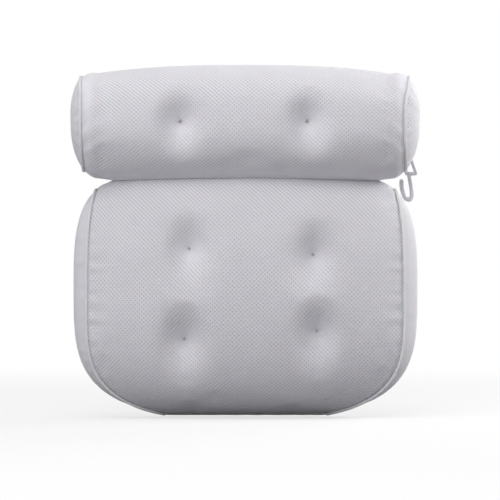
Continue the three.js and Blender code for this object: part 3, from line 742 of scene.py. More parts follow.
def settle(obj, pins):
    """Lets a sewn panel swell between its pinned seams and ties, and keeps the result."""
    start = points_of(obj)
    group = obj.vertex_groups.new(name="held")
    levels = np.round(pins, 2)
    for level in np.unique(levels[levels > 0]):
        group.add(np.nonzero(levels == level)[0].tolist(), float(level), "REPLACE")
    modifier = obj.modifiers.new("Cloth", "CLOTH")
    cloth = modifier.settings
    cloth.vertex_group_mass = "held"
    cloth.pin_stiffness = 1.0
    cloth.quality = 6
    cloth.mass = 0.2
    cloth.tension_stiffness = cloth.compression_stiffness = 18
    cloth.shear_stiffness = 6
    cloth.bending_stiffness = 6
    cloth.tension_damping = cloth.compression_damping = 12
    cloth.air_damping = 4
    cloth.shrink_min = -CLOTH_SLACK
    cloth.use_pressure = True
    cloth.uniform_pressure_force = CLOTH_PRESSURE
    cloth.effector_weights.gravity = 0
    modifier.collision_settings.use_collision = False
    modifier.point_cache.frame_start = 1
    modifier.point_cache.frame_end = CLOTH_FRAMES
    scene = bpy.context.scene
    for number in range(1, CLOTH_FRAMES + 1):
        scene.frame_set(number)
    after = points_of(obj.evaluated_get(bpy.context.evaluated_depsgraph_get()))
    obj.modifiers.remove(modifier)
    obj.vertex_groups.remove(group)
    scene.frame_set(1)
    move = after - start
    far = np.linalg.norm(move, axis=1, keepdims=True)
    move = move * np.minimum(1, CLOTH_CAP / np.maximum(far, 1e-9))
    obj.data.vertices.foreach_set("co", (start + move).astype(np.float32).ravel())
    obj.data.update()


# Shader groups

class Nodes:
    """Short way to place and wire nodes in one tree."""

    def __init__(self, tree):
        self.tree = tree

    def add(self, kind, **settings):
        node = self.tree.nodes.new(kind)
        for key, value in settings.items():
            setattr(node, key, value)
        return node

    def wire(self, source, target):
        self.tree.links.new(source, target)

    def feed(self, socket, value):
        """Wires an output into a socket, or sets the number or colour there."""
        if isinstance(value, bpy.types.NodeSocket):
            self.wire(value, socket)
        elif isinstance(value, (int, float)):
            socket.default_value = value
        else:
            socket.default_value = (*value, 1.0)

    def math(self, operation, *values):
        node = self.add("ShaderNodeMath", operation=operation)
        for socket, value in zip(node.inputs, values):
            self.feed(socket, value)
        return node.outputs[0]

    def plus(self, a, b):
        return self.math("ADD", a, b)

    def minus(self, a, b):
        return self.math("SUBTRACT", a, b)

    def times(self, a, b):
        return self.math("MULTIPLY", a, b)

    def cosine(self, a):
        return self.math("COSINE", a)

    def split(self, vector):
        """The X, Y and Z of a vector."""
        node = self.add("ShaderNodeSeparateXYZ")
        self.wire(vector, node.inputs[0])
        return node.outputs

    def fabric_place(self):
        """Place on the cloth, in metres along and across it."""
        return self.add("ShaderNodeUVMap", uv_map="fabric").outputs["UV"]

    def coordinate(self, kind):
        return self.add("ShaderNodeTexCoord").outputs[kind]

    def ramp(self, value, low, high, to_low=0.0, to_high=1.0):
        """Smooth change from to_low at low to to_high at high."""
        node = self.add("ShaderNodeMapRange", interpolation_type="SMOOTHSTEP")
        self.wire(value, node.inputs["Value"])
        ends = {"From Min": low, "From Max": high, "To Min": to_low, "To Max": to_high}
        for name, number in ends.items():
            self.feed(node.inputs[name], number)
        return node.outputs["Result"]

    def mixed(self, factor, a, b):
        """Colour between a and b."""
        node = self.add("ShaderNodeMix", data_type="RGBA")
        sockets = {socket.identifier: socket for socket in node.inputs}
        for name, value in (("Factor_Float", factor), ("A_Color", a), ("B_Color", b)):
            self.feed(sockets[name], value)
        return next(s for s in node.outputs if s.identifier == "Result_Color")

    def noise(self, vector, scale, detail=3.0, roughness=0.55):
        node = self.add("ShaderNodeTexNoise")
        for name, value in (("Scale", scale), ("Detail", detail), ("Roughness", roughness)):
            node.inputs[name].default_value = value
        self.wire(vector, node.inputs["Vector"])
        return node.outputs["Fac"]

    def seen_directly(self):
        """1 for what the camera sees, also in gloss and through clear plastic."""
        path = self.add("ShaderNodeLightPath").outputs
        mirrored = self.math("MAXIMUM", path["Is Glossy Ray"], path["Is Transmission Ray"])
        return self.math("MAXIMUM", path["Is Camera Ray"], mirrored)

    def either(self, factor, first, second):
        """Shader that goes from the first to the second."""
        node = self.add("ShaderNodeMixShader")
        for socket, source in zip(node.inputs, (factor, first, second)):
            self.wire(source, socket)
        return node.outputs[0]


def shade(colour, share):
    """A darker tone of a colour."""
    return tuple(share * part for part in colour)


def new_group(name, inputs, outputs):
    """An empty shader group, with the sockets that it takes from and gives to a material."""
    group = bpy.data.node_groups.new(name, "ShaderNodeTree")
    for label, value in inputs:
        socket = group.interface.new_socket(label, in_out="INPUT", socket_type="NodeSocketFloat")
        socket.default_value = value
    for label in outputs:
        group.interface.new_socket(label, in_out="OUTPUT", socket_type="NodeSocketFloat")
    nodes = Nodes(group)
    return group, nodes, nodes.add("NodeGroupInput").outputs, nodes.add("NodeGroupOutput").inputs


def mesh_weave_group():
    """Staggered holes of a spacer mesh and the ridges of yarn between them."""
    name, softness = "spacer_mesh_weave", 0.25
    if name in bpy.data.node_groups:
        return bpy.data.node_groups[name]
    group, n, given, out = new_group(name, [("Pitch", 0.0046), ("Opening", 0.45)], ["Hole", "Height"])
    cloth = n.fabric_place()
    place = n.split(cloth)
    slope = n.split(n.coordinate("Normal"))
    turn = n.math("DIVIDE", 2 * math.pi, given["Pitch"])
    drift = n.times(n.minus(n.noise(cloth, 90.0, 2.0, 0.5), 0.5), 0.9)
    across = n.plus(n.times(place["X"], turn), drift)
    along = n.minus(n.times(place["Y"], turn), drift)
    # The slope of the cloth and a soft noise decide which diagonal of holes runs into stripes: painted light,
    # the stripes turning as the cloth faces up or down, as lit yarn ridges do
    patch = n.times(n.minus(n.noise(cloth, 9.0, 1.0), 0.5), 0.5)
    lean = n.plus(n.ramp(slope["Z"], -0.5, 0.4, 0.26, 0.74), patch)
    falling = n.times(n.cosine(n.plus(across, along)), lean)
    rising = n.times(n.cosine(n.minus(across, along)), n.minus(1.0, lean))
    low, high = n.minus(given["Opening"], softness), n.plus(given["Opening"], softness)
    hole = n.ramp(n.plus(falling, rising), low, high)
    strands = n.cosine(n.times(n.plus(place["X"], place["Y"]), n.times(turn, 3.0)))
    height = n.plus(n.minus(1.0, hole), n.times(strands, 0.08))
    # Stretched cloth beside a tie shows less of its holes; the painted shade in the holes, and their bump,
    # also fade where the cloth faces up, down or sideways
    drawn = n.add("ShaderNodeAttribute", attribute_name="drawn_in").outputs["Fac"]
    facing = n.ramp(n.math("ABSOLUTE", slope["Y"]), 0.25, 0.8, 0.38, 1.0)
    open_share = n.times(facing, n.ramp(drawn, 0.0, 1.0, 1.0, 0.2))
    n.wire(n.times(hole, open_share), out["Hole"])
    n.wire(n.times(height, open_share), out["Height"])
    return group


def knit_group():
    """Fine upright ribs of a plain knit with small stitches along them."""
    name = "plain_knit"
    if name in bpy.data.node_groups:
        return bpy.data.node_groups[name]
    group, n, given, out = new_group(name, [("Pitch", 0.0016)], ["Groove", "Height"])
    place = n.split(n.fabric_place())
    turn = n.math("DIVIDE", 2 * math.pi, given["Pitch"])
    rib = n.cosine(n.times(place["X"], turn))
    stitch = n.cosine(n.times(place["Y"], n.times(turn, 1.3)))
    height = n.plus(n.times(rib, 0.5), n.times(n.times(stitch, rib), 0.3))
    n.wire(height, out["Height"])
    # Mask of the grooves between the ribs, for the painted shade in them
    n.wire(n.ramp(height, -0.1, -0.6), out["Groove"])
    return group


def fibre_group():
    """Soft mottling and stray fibres that every fabric of the pillow has."""
    name = "fibre_tone"
    if name in bpy.data.node_groups:
        return bpy.data.node_groups[name]
    group, n, given, out = new_group(name, [("Scale", 1.0)], ["Tone", "Grain"])
    scaled = n.add("ShaderNodeVectorMath", operation="SCALE")
    n.wire(n.coordinate("Object"), scaled.inputs[0])
    n.wire(given["Scale"], scaled.inputs["Scale"])
    n.wire(n.ramp(n.noise(scaled.outputs[0], 26.0, 4.0), 0.3, 0.7), out["Tone"])
    n.wire(n.noise(scaled.outputs[0], 1900.0, 2.0, 0.7), out["Grain"])
    return group


# Materials

def new_material(name):
    """A material with its node helper and its shader's sockets."""
    material = bpy.data.materials.new(name)
    material.use_nodes = True
    shader = material.node_tree.nodes["Principled BSDF"]
    return material, Nodes(material.node_tree), shader.inputs


def placed(nodes, group, **values):
    """A shader group set into a material with its own values."""
    node = nodes.add("ShaderNodeGroup", node_tree=group)
    for key, value in values.items():
        node.inputs[key].default_value = value
    return node.outputs


def bumped(nodes, shader, height, strength, distance):
    """Raises a surface by a height; the distance is in metres."""
    bump = nodes.add("ShaderNodeBump")
    bump.inputs["Strength"].default_value = strength
    bump.inputs["Distance"].default_value = distance
    nodes.wire(height, bump.inputs["Height"])
    nodes.wire(bump.outputs["Normal"], shader["Normal"])


def set_values(shader, values):
    """Sets what is the same all over a surface on the shader's own sockets."""
    for name, value in values.items():
        shader[name].default_value = value


SOFT_CLOTH = {
    "Subsurface Weight": 0.4,
    "Subsurface Radius": (1.0, 0.82, 0.72),
    "Subsurface Scale": 0.012,
    "Sheen Weight": 0.15,
    "Sheen Roughness": 0.5,
    "Specular IOR Level": 0.25,
}


def mesh_fabric():
    """White spacer mesh, shaded in its holes."""
    name = "pillow_mesh"
    if name in bpy.data.materials:
        return bpy.data.materials[name]
    material, n, shader = new_material(name)
    weave = placed(n, mesh_weave_group(), Pitch=sizes().mesh_pitch, Opening=0.42)
    fibre = placed(n, fibre_group(), Scale=1.0)
    face = n.mixed(fibre["Tone"], shade(colours().mesh, 0.97), colours().mesh)
    n.wire(n.mixed(weave["Hole"], face, colours().hole), shader["Base Color"])
    n.wire(n.plus(n.times(weave["Hole"], 0.1), 0.82), shader["Roughness"])
    height = n.plus(weave["Height"], n.times(fibre["Grain"], 0.35))
    bumped(n, shader, height, strength=0.5, distance=0.0007)
    set_values(shader, SOFT_CLOTH)
    return material


def knit_fabric(name, colour, pitch, strength, thick=True):
    """Plain ribbed knit; light spreads through it only where it is thick."""
    if name in bpy.data.materials:
        return bpy.data.materials[name]
    material, n, shader = new_material(name)
    knit = placed(n, knit_group(), Pitch=pitch)
    fibre = placed(n, fibre_group(), Scale=1.4)
    face = n.mixed(fibre["Tone"], shade(colour, 0.96), colour)
    # The grooves between the ribs are painted darker: painted shade
    n.wire(n.mixed(n.times(knit["Groove"], 0.35), face, shade(colour, 0.7)), shader["Base Color"])
    n.wire(n.ramp(fibre["Grain"], 0.3, 0.7, 0.78, 0.92), shader["Roughness"])
    height = n.plus(knit["Height"], n.times(fibre["Grain"], 0.4))
    bumped(n, shader, height, strength, distance=0.0003)
    if thick:
        set_values(shader, SOFT_CLOTH)
    return material


def plain_fabric():
    return knit_fabric("pillow_knit", colours().knit, sizes().knit_pitch, strength=0.45)


def strip_fabric():
    return knit_fabric("pillow_strip", colours().knit, sizes().knit_pitch, strength=0.45, thick=False)


def welt_fabric():
    return knit_fabric("pillow_welt", colours().welt, 0.6 * sizes().knit_pitch, strength=0.3)


def thread_finish(name, colour, pitch):
    """Twisted or braided strand: slanted ridges along the tube."""
    if name in bpy.data.materials:
        return bpy.data.materials[name]
    material, n, shader = new_material(name)
    place = n.split(n.fabric_place())
    slant = n.plus(place["X"], n.times(place["Y"], 0.8))
    ridge = n.cosine(n.times(slant, 2 * math.pi / pitch))
    fibre = placed(n, fibre_group(), Scale=2.0)
    # The troughs between the slanted ridges are painted darker: painted shade
    n.wire(n.mixed(n.ramp(ridge, -0.9, 0.4), shade(colour, 0.72), colour), shader["Base Color"])
    n.wire(n.ramp(fibre["Grain"], 0.3, 0.7, 0.55, 0.8), shader["Roughness"])
    bumped(n, shader, n.plus(ridge, n.times(fibre["Grain"], 0.5)), strength=0.5, distance=0.0003)
    set_values(shader, {"Specular IOR Level": 0.3})
    return material


def tie_thread():
    return thread_finish("pillow_thread", colours().thread, pitch=0.0011)


def cord_braid():
    return thread_finish("pillow_cord", colours().cord, pitch=0.0016)


def cup_vinyl():
    """Milky soft vinyl, a little hazy where it has been handled."""
    name = "pillow_vinyl"
    if name in bpy.data.materials:
        return bpy.data.materials[name]
    material, n, shader = new_material(name)
    haze = n.noise(n.coordinate("Object"), 60.0, 4.0)
    tone = n.mixed(n.ramp(haze, 0.35, 0.7), shade(colours().cup, 0.94), colours().cup)
    n.wire(tone, shader["Base Color"])
    n.wire(n.ramp(haze, 0.3, 0.75, 0.1, 0.2), shader["Roughness"])
    bumped(n, shader, haze, strength=0.03, distance=0.0004)
    set_values(shader, {"Transmission Weight": 0.5, "IOR": 1.5})
    return material


def hook_plastic():
    """White moulded plastic with faint flow marks."""
    name = "pillow_hook"
    if name in bpy.data.materials:
        return bpy.data.materials[name]
    material, n, shader = new_material(name)
    place = n.coordinate("Object")
    flow = n.noise(place, 140.0, 4.0)
    tone = n.mixed(n.ramp(flow, 0.3, 0.7), shade(colours().hook, 0.95), colours().hook)
    n.wire(tone, shader["Base Color"])
    n.wire(n.ramp(flow, 0.3, 0.7, 0.28, 0.4), shader["Roughness"])
    bumped(n, shader, n.noise(place, 900.0, 2.0), strength=0.06, distance=0.0003)
    glow = {"Subsurface Weight": 0.1, "Subsurface Radius": (1.0, 1.0, 1.0), "Subsurface Scale": 0.002}
    set_values(shader, glow)
    return material


# Pieces

class PILLOW_OT_pad(bpy.types.Operator):
    """Sews the back pad: tufted mesh front, two lens-shaped gussets and a plain back"""

    bl_idname = "pillow.pad"
    bl_label = "Back Pad"

    def execute(self, context):
        angles, shares = pad_angles(PAD_ROWS), crowded(PAD_COLUMNS)
        self.front(angles, shares)
        self.gusset("left", -1, angles)
        self.gusset("right", 1, angles)
        self.back(angles, shares)
        return {"FINISHED"}

    def shell(self, angles, shares, tufted):
        """The front with its two edges led round to the base, with or without the tufts."""
        grid = pad_front(shares[None], angles[:, None], tufted)
        grid[..., 1] -= belly(grid[..., 0], grid[..., 2])
        grid = leant(grid, PAD_CREASE_RISE, PAD_CREASE_FORWARD)
        foot = [self.towards_base(grid[0], share) for share in reversed(EDGE_STEPS)]
        head = [self.towards_base(grid[-1], share) for share in EDGE_STEPS]
        return np.concatenate([np.stack(foot), grid, np.stack(head)])

    def towards_base(self, row, share):
        x, y, z = row.T
        return np.stack([x, mix(y, BASE, share), z], -1)

    def front(self, angles, shares):
        """Mesh front, gathered along its seams and swollen between its ties."""
        grid, plain = (self.shell(angles, shares, tufted) for tufted in (True, False))
        u, v = arc_lengths(plain, 1), arc_lengths(plain, 0)
        u, v = u - u[:, [WEAVE_START]], v - v[[WEAVE_START]]
        to_side = np.minimum(u - u[:, :1], u[:, -1:] - u)
        to_end = np.minimum(v - v[:1], v[-1:] - v)
        sides = gathers("pad_sides", v) * gather_fade(to_side, fade=14)
        ends = gathers("pad_ends", u) * gather_fade(to_end, fade=12)
        gather = sizes().pucker / MM * (sides + ends)
        dip = sizes().seam_dip / MM * np.maximum(groove(to_side), groove(to_end))
        grid = grid + normals_of(grid) * (gather - dip)[..., None]
        obj = grid_object("pad_mesh_front", grid, np.stack([u, v], -1))
        outward(obj, (0, -30, 0))
        settle(obj, self.pins(grid, to_side, to_end))
        refine(obj)
        mark_drawn(obj, PAD_TUFTS)
        dress(obj, mesh_fabric(), "pad", "mesh_fabric", "pad_front", "pad_filling")

    def pins(self, grid, to_side, to_end):
        """How firmly the ties and seams hold each point of the front."""
        ties = grip(to_tuft(grid[..., 0], grid[..., 2], PAD_TUFTS), TIE_GRIP)
        return np.maximum(ties, grip(np.minimum(to_side, to_end))).reshape(-1)

    def gusset(self, side, sign, angles):
        """Lens of knit between a side seam and the back, swollen in its middle."""
        seam, out = pad_seam(sign, angles)
        bulge = pad_profile(angles)[2]
        across = np.linspace(0, 1, GUSSET_COLUMNS)
        flat = np.repeat(seam[:, None], len(across), 1)
        flat[..., 1] = mix(seam[:, 1][:, None], BASE, across[None])
        swell = bulge[:, None] * np.sin(math.pi * across)[None] ** 0.8
        grid = flat + out[:, None] * swell[..., None]
        u, v = arc_lengths(grid, 1), arc_lengths(grid, 0)
        to_seam = np.minimum(u, u[:, -1:] - u)
        gather = gathers(f"gusset_{side}", v) * gather_fade(to_seam, fade=9, rise=3)
        gather = GUSSET_PUCKER * sizes().pucker / MM * gather
        grid = grid + out[:, None] * (gather - GUSSET_DIP * groove(to_seam))[..., None]
        obj = grid_object(f"pad_gusset_panel_{side}", grid, np.stack([u, v], -1))
        outward(obj, (0, -40, 0))
        refine(obj)
        dress(obj, plain_fabric(), "pad", "plain_fabric", f"pad_gusset_{side}")

    def back(self, angles, shares):
        """Plain back that swells between the cups and gathers along its sides."""
        grid = pad_front(shares[None], angles[:, None])
        x, _, z = np.moveaxis(grid, -1, 0)
        side_rim = np.abs(shares) ** RIM_SIDE_POWER
        end_rim = np.abs(np.sin(angles)) ** RIM_END_POWER
        rim = np.maximum(side_rim[None], end_rim[:, None])
        to_edge = pad_half(z) - np.abs(x)
        inside = step(to_edge, *BACK_FROM_EDGE) * step(z, PAD_BOTTOM, PAD_BOTTOM + BACK_FROM_FOOT)
        swell = BACK_SWELL * step(to_tuft(x, z, PAD_TUFTS), *BACK_FROM_CUP) * inside
        swell = swell * (1 - step(z, *BACK_TO_STRIP))
        gather = BACK_GATHER * gathers("pad_back", z) * gather_fade(to_edge, fade=12) * inside
        puckers = sum(self.star(x - tx, z - tz, k) for k, (tx, tz) in enumerate(PAD_TUFTS.values()))
        grid[..., 1] = BACK - BACK_GAP - BACK_RIM_DROP * rim + swell + gather + puckers
        obj = grid_object("pad_back_panel", grid, grid[..., [0, 2]])
        outward(obj, (0, -60, 0))
        refine(obj)
        dress(obj, plain_fabric(), "pad", "plain_fabric", "pad_back")

    def star(self, across, up, k):
        """Short folds that run out from a cup's seat."""
        away = np.hypot(across, up)
        turn = np.arctan2(up, across)
        rays = sum(share * np.cos(count * turn + shift * k) for share, count, shift in STAR_RAYS)
        return STAR_HEIGHT * rays * hump(away - STAR_RADIUS, STAR_WIDTH) * step(away, *STAR_SEAT)


class PILLOW_OT_roll(bpy.types.Operator):
    """Sews the neck roll: tufted mesh cover and two domed ends"""

    bl_idname = "pillow.roll"
    bl_label = "Neck Roll"

    def execute(self, context):
        angles = self.angles()
        self.cover(angles)
        self.end("left", -1, angles)
        self.end("right", 1, angles)
        return {"FINISHED"}

    def angles(self):
        """Angles that cut the roll's middle section into even steps."""
        dense = np.linspace(0, 2 * math.pi, 6001)
        _, reach, rise = roll_section(dense)
        curve = np.stack([ROLL_DEPTH * reach, ROLL_HEIGHT / 2 * rise], -1)
        return evenly(curve, dense, ROLL_STEPS)

    def cover(self, angles):
        """Mesh cover, gathered at its end seams and swollen between its ties."""
        x = crowded(ROLL_STATIONS) * ROLL_HALF
        wraps = (sewn_roll(x[:, None], angles[None], tufted) for tufted in (True, False))
        grid, plain = (leant(wrap, ROLL_CREASE_RISE, 0.0) for wrap in wraps)
        centre, front = len(x) // 2, np.argmin(np.abs(angles - math.pi))
        v, u = arc_lengths(plain, 1), arc_lengths(plain, 0)
        u = u - u[[centre]]
        round_it = v / v[:, -1:]
        to_end = np.minimum(u - u[:1], u[-1:] - u)
        to_join = np.minimum(v, v[:, -1:] - v)
        gather = gathers("roll", v) * gather_fade(to_end, fade=14)
        gather = gather * np.clip(to_join / ROLL_JOIN_FADE, 0, 1)
        puff = ROLL_PUFF * hump(to_end - PUFF_FROM_END, PUFF_WIDTH)
        puff = puff * step(np.minimum(round_it, 1 - round_it), *PUFF_ROUND)
        slack = ROLL_SLACK * step(to_end, *SLACK_FROM_END)
        slack = slack * step(grid[..., 2] - ROLL_MIDDLE, *SLACK_FROM_MIDDLE)
        lift = sizes().pucker / MM * gather + puff - slack - sizes().seam_dip / MM * groove(to_end)
        grid = grid + self.outward_normals(grid) * lift[..., None]
        grid[:, -1] = grid[:, 0]
        rows = (round_it[:, [front]] - round_it) * v[centre, -1]
        obj = grid_object("roll_mesh_cover", grid, np.stack([u, rows], -1), around=True)
        outward(obj, (0, -60, ROLL_MIDDLE))
        settle(obj, self.pins(grid[:, :-1], to_end[:, :-1]))
        refine(obj)
        mark_drawn(obj, ROLL_TUFTS, ROLL_HALF)
        dress(obj, mesh_fabric(), "roll", "mesh_fabric", "roll_cover", "roll_filling")

    def outward_normals(self, grid):
        """Directions square to the cover, away from the roll's axis."""
        normal = normals_of(grid)
        out = (grid - [0, ROLL_AXIS_Y, ROLL_MIDDLE]) * [0, 1, 1]
        return normal * np.sign((normal * out).sum(-1, keepdims=True))

    def pins(self, grid, to_end):
        """How firmly the ties, the end seams, the flat back and the crease hold each point."""
        x, y, z = np.moveaxis(grid, -1, 0)
        ties = grip(to_tuft(x, z, ROLL_TUFTS), TIE_GRIP) * (y < ROLL_FRONT_Y)
        rear = np.clip((y - BACK + HELD_DEPTH) / HELD_FADE, 0, 1)
        under = np.clip((PAD_TOP + HELD_DEPTH - z) / HELD_FADE, 0, 1)
        return np.maximum.reduce([ties, grip(to_end), rear, under]).reshape(-1)

    def end(self, side, sign, angles):
        """Domed end panel, gathered all round its seam."""
        rim = sewn_roll(np.full_like(angles, sign * ROLL_HALF), angles)
        middle = np.array([sign * ROLL_HALF, ROLL_AXIS_Y, ROLL_MIDDLE])
        out = np.array([sign, 0, 0])
        share = np.linspace(END_POLE, 1, END_RINGS)[:, None]
        to_seam = (1 - share) * END_RADIUS
        bulge = ROLL_END_BULGE * (1 - share**ROLL_BULGE_POWER)
        gather = gathers(f"roll_end_{side}", arc_lengths(rim[None], 1))
        gather = END_PUCKER * sizes().pucker / MM * gather * gather_fade(to_seam, fade=10, rise=3)
        lift = bulge + gather - END_DIP * groove(to_seam)
        grid = middle + (rim - middle)[None] * share[..., None] + out * lift[..., None]
        grid[:, -1] = grid[:, 0]
        obj = grid_object(f"roll_end_panel_{side}", grid, grid[..., [1, 2]], around=True)
        close_pole(obj, ROLL_STEPS - 1)
        outward(obj, (0, -60, ROLL_MIDDLE))
        dress(obj, mesh_fabric(), "roll", "mesh_fabric", f"roll_end_{side}")


class PILLOW_OT_welts(bpy.types.Operator):
    """Lays the rolled welts along the end seams, the side seams and round the back"""

    bl_idname = "pillow.welts"
    bl_label = "Welts"

    def execute(self, context):
        thick = sizes().welt / MM
        for side, sign in (("left", -1), ("right", 1)):
            self.roll(side, sign, thick)
            self.pad(side, sign, thick)
        self.rim(thick)
        return {"FINISHED"}

    def lay(self, name, line, thick, closed, body, node):
        """Slightly uneven tube along a seam; a closed one is even where its ends meet."""
        run = np.arange(len(line)) * float(np.linalg.norm(np.diff(line, axis=0), axis=1).mean())
        wobble = WELT_WOBBLE * gathers(node, run)
        if closed:
            wobble = wobble * np.clip(np.minimum(run, run[-1] - run) / WELT_JOIN, 0, 1)
        obj = tube_object(name, line, thick / 2 * (1 + wobble), 12, closed)
        dress(obj, welt_fabric(), body, "welt_fabric", node)

    def roll(self, side, sign, thick):
        """Welt round an end seam of the roll."""
        angle = np.linspace(0, 2 * math.pi, 8001)
        curve = sewn_roll(np.full_like(angle, sign * ROLL_HALF), angle)
        places = evenly(curve, angle, WELT_STEPS + 1)[:-1]
        rim = sewn_roll(np.full(WELT_STEPS, sign * ROLL_HALF), places)
        out = out_of(rim, [1, 0, 0], rim.mean(0))
        line = rim - out * (thick / 2 - WELT_SINK) + np.array([sign * (thick / 2 - WELT_OUT), 0, 0])
        self.lay(f"roll_welt_cord_{side}", line, thick, True, "roll", f"roll_welt_{side}")

    def pad(self, side, sign, thick):
        """Welt along a side seam of the pad's front."""
        seam, out = pad_seam(sign, pad_angles(240)[4:-4])
        line = seam + out * (thick / 2 - WELT_SINK) + np.array([0, -WELT_REST, 0])
        self.lay(f"pad_welt_cord_{side}", line, thick, False, "pad", f"pad_welt_{side}")

    def rim(self, thick):
        """Welt all round the pad's back."""
        angles = pad_angles(150)
        shares = np.linspace(-1, 1, 90)
        right, left = (pad_seam(sign, angles)[0] for sign in (1, -1))
        foot = pad_front(shares[None], angles[:1, None])[0]
        head = pad_front(shares[None], angles[-1:, None])[0]
        line = np.concatenate([foot[:-1], right[:-1], head[::-1][:-1], left[::-1][:-1]])
        line[:, 1] = 0
        line = line[np.linalg.norm(line - np.roll(line, 1, 0), axis=1) > 0.6]
        line = even_points(np.concatenate([line, line[:1]]), RIM_STEPS + 1)[:-1]
        line = line + out_of(line, [0, 1, 0], 0) * (thick / 2 - RIM_SINK)
        for _ in range(3):
            line = (np.roll(line, 1, 0) + 2 * line + np.roll(line, -1, 0)) / 4
        line[:, 1] = BASE + thick / 2 + FIT / 2
        self.lay("pad_back_welt_cord", line, thick, True, "pad", "pad_back_welt")


class PILLOW_OT_fold_strip(bpy.types.Operator):
    """Sews the strip of knit that joins the roll to the pad behind the crease"""

    bl_idname = "pillow.fold_strip"
    bl_label = "Fold Strip"

    def execute(self, context):
        low, high = FOLD_HEIGHT - STRIP_BELOW, FOLD_HEIGHT + STRIP_ABOVE
        grid = self.cloth(low, high)
        obj = grid_object("fold_strip", grid, grid[..., [0, 2]])
        outward(obj, (0, -60, FOLD_HEIGHT))
        thick = obj.modifiers.new("Thickness", "SOLIDIFY")
        thick.thickness, thick.offset = STRIP_THICKNESS * MM, -1
        apply_modifiers(obj)
        dress(obj, strip_fabric(), None, "plain_fabric", "roll_flap", "pad_flap")
        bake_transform(obj)
        self.stitches("roll", high - HEM)
        self.stitches("pad", low + HEM)
        return {"FINISHED"}

    def cloth(self, low, high):
        """Points of the strip: hemmed all round, drawn in at the fold and slack between."""
        across = np.linspace(-STRIP_WIDTH / 2, STRIP_WIDTH / 2, STRIP_COLUMNS)
        x, z = np.meshgrid(across, np.linspace(low, high, STRIP_ROWS))
        edge = np.minimum(STRIP_WIDTH / 2 - np.abs(x), np.minimum(z - low, high - z))
        hem = HEM_RIDGE * hump(edge - HEM, HEM_WIDTH) + HEM_TURN * (1 - step(edge, 0, HEM_EDGE))
        fold = hump(z - FOLD_HEIGHT, FOLD_WIDTH)
        ripple = 1.4 + np.sin(x / 5.3 + 2.6 * np.sin(x / 31)) + 0.7 * np.sin(x / 9.1 + 2)
        slanted = x + 150 + 0.3 * z
        loose = np.maximum(gathers("strip", slanted), 0) * step(edge, HEM, STRIP_SLACK_FULL)
        raised = STRIP_CREASE * fold * ripple + STRIP_SLACK * loose
        raised = raised * step(edge, 0, STRIP_CREASE_FULL)
        y = BACK + FIT + STRIP_LIFT - hem - FOLD_DIP * fold + raised
        share_x, share_z = 2 * x / STRIP_WIDTH, (2 * z - low - high) / (high - low)
        waver_x = 0.5 * np.sin(z / 5 + np.sign(x)) * share_x**12 - 1.5 * share_x**20 * share_z**20
        waver_z = (0.5 * np.sin(x / 11) + 0.4 * np.sin(x / 4.7 + 1)) * share_z**12
        return np.stack([x + waver_x * np.sign(x), y, z + waver_z], -1)

    def stitches(self, body, z):
        """Row of running stitches that sews one hem of the strip down."""
        t = np.linspace(-1, 1, 7)
        y = BACK + FIT + STITCH_LIFT + STITCH_ARCH * np.cos(t * math.pi / 2)
        end = STRIP_WIDTH / 2 - HEM
        row = []
        for k, x in enumerate(np.arange(-end, end + 1, STITCH_PITCH)):
            line = np.stack([x + STITCH_HALF * t, y, np.full_like(t, z)], -1)
            row.append(tube_object(f"stitch_{body}_{k}", line, STITCH_RADIUS, 8))
        dress(join(f"strip_stitches_{body}", row), cord_braid(), body, "tie_thread")


class PILLOW_OT_cups(bpy.types.Operator):
    """Turns the milky suction cups and sets one behind each tuft"""

    bl_idname = "pillow.cups"
    bl_label = "Suction Cups"

    def execute(self, context):
        profile = self.profile()
        for name, place in ALL_TUFTS.items():
            self.cup(name, place, profile)
        return {"FINISHED"}

    def profile(self):
        """Radius and y of a cup's outline, from the middle of its hollow to the middle of its head."""
        seat, head = BACK + FIT, BACK - UNDER
        tail = head - CUP_HEAD_THICKNESS
        hollow = [(0, -6.5), (6, -6.3), (10.8, -5.85), (15, -4.9), (19.2, -3.3), (22, -1.6), (24, -0.05)]
        lip = [(CUP_RIM - 1.6, 0), (CUP_RIM - 0.3, 0)]
        bell = [
            (CUP_RIM, -0.35), (25.4, -1.6), (23.6, -3.4), (21.3, -4.8),
            (17, -7.2), (13, -9.3), (9.5, -11.2), (CUP_WAIST, -12.1),
        ]
        shoulder = [
            (CUP_WAIST, -12.6), (CUP_SHOULDER - 0.2, -12.9), (CUP_SHOULDER, -13.3), (CUP_SHOULDER, seat),
        ]
        neck = [(CUP_NECK, seat), (CUP_NECK, head)]
        button = [
            (CUP_HEAD - 0.4, head), (CUP_HEAD, head - 0.5), (CUP_HEAD - 0.1, head - 1.6),
            (CUP_HEAD - 1, tail), (0, tail),
        ]
        inner, outer = smooth_line(hollow, False, 22), smooth_line(bell, False, 26)
        return np.array([*inner, *lip, *outer, *shoulder, *neck, *button])

    def cup(self, name, place, profile):
        """One cup turned about the line through its tuft."""
        turn = np.linspace(0, 2 * math.pi, CUP_SIDES + 1)
        shape = len(profile), len(turn)
        radius, y = profile[:, :1], np.broadcast_to(profile[:, 1:], shape)
        grid = np.stack([place[0] + radius * np.sin(turn), y, place[1] + radius * np.cos(turn)], -1)
        run = np.broadcast_to(arc_lengths(profile[None], 1).T, shape)
        uv = np.stack([np.broadcast_to(turn * 20, shape), run], -1)
        obj = grid_object(f"cup_{name}", grid, uv, around=True)
        weld(obj)
        recalculate(obj)
        obj.data.set_sharp_from_angle(angle=math.radians(50))
        dress(obj, cup_vinyl(), body_of(name), "cup_rubber", f"suction_cup_{name}")


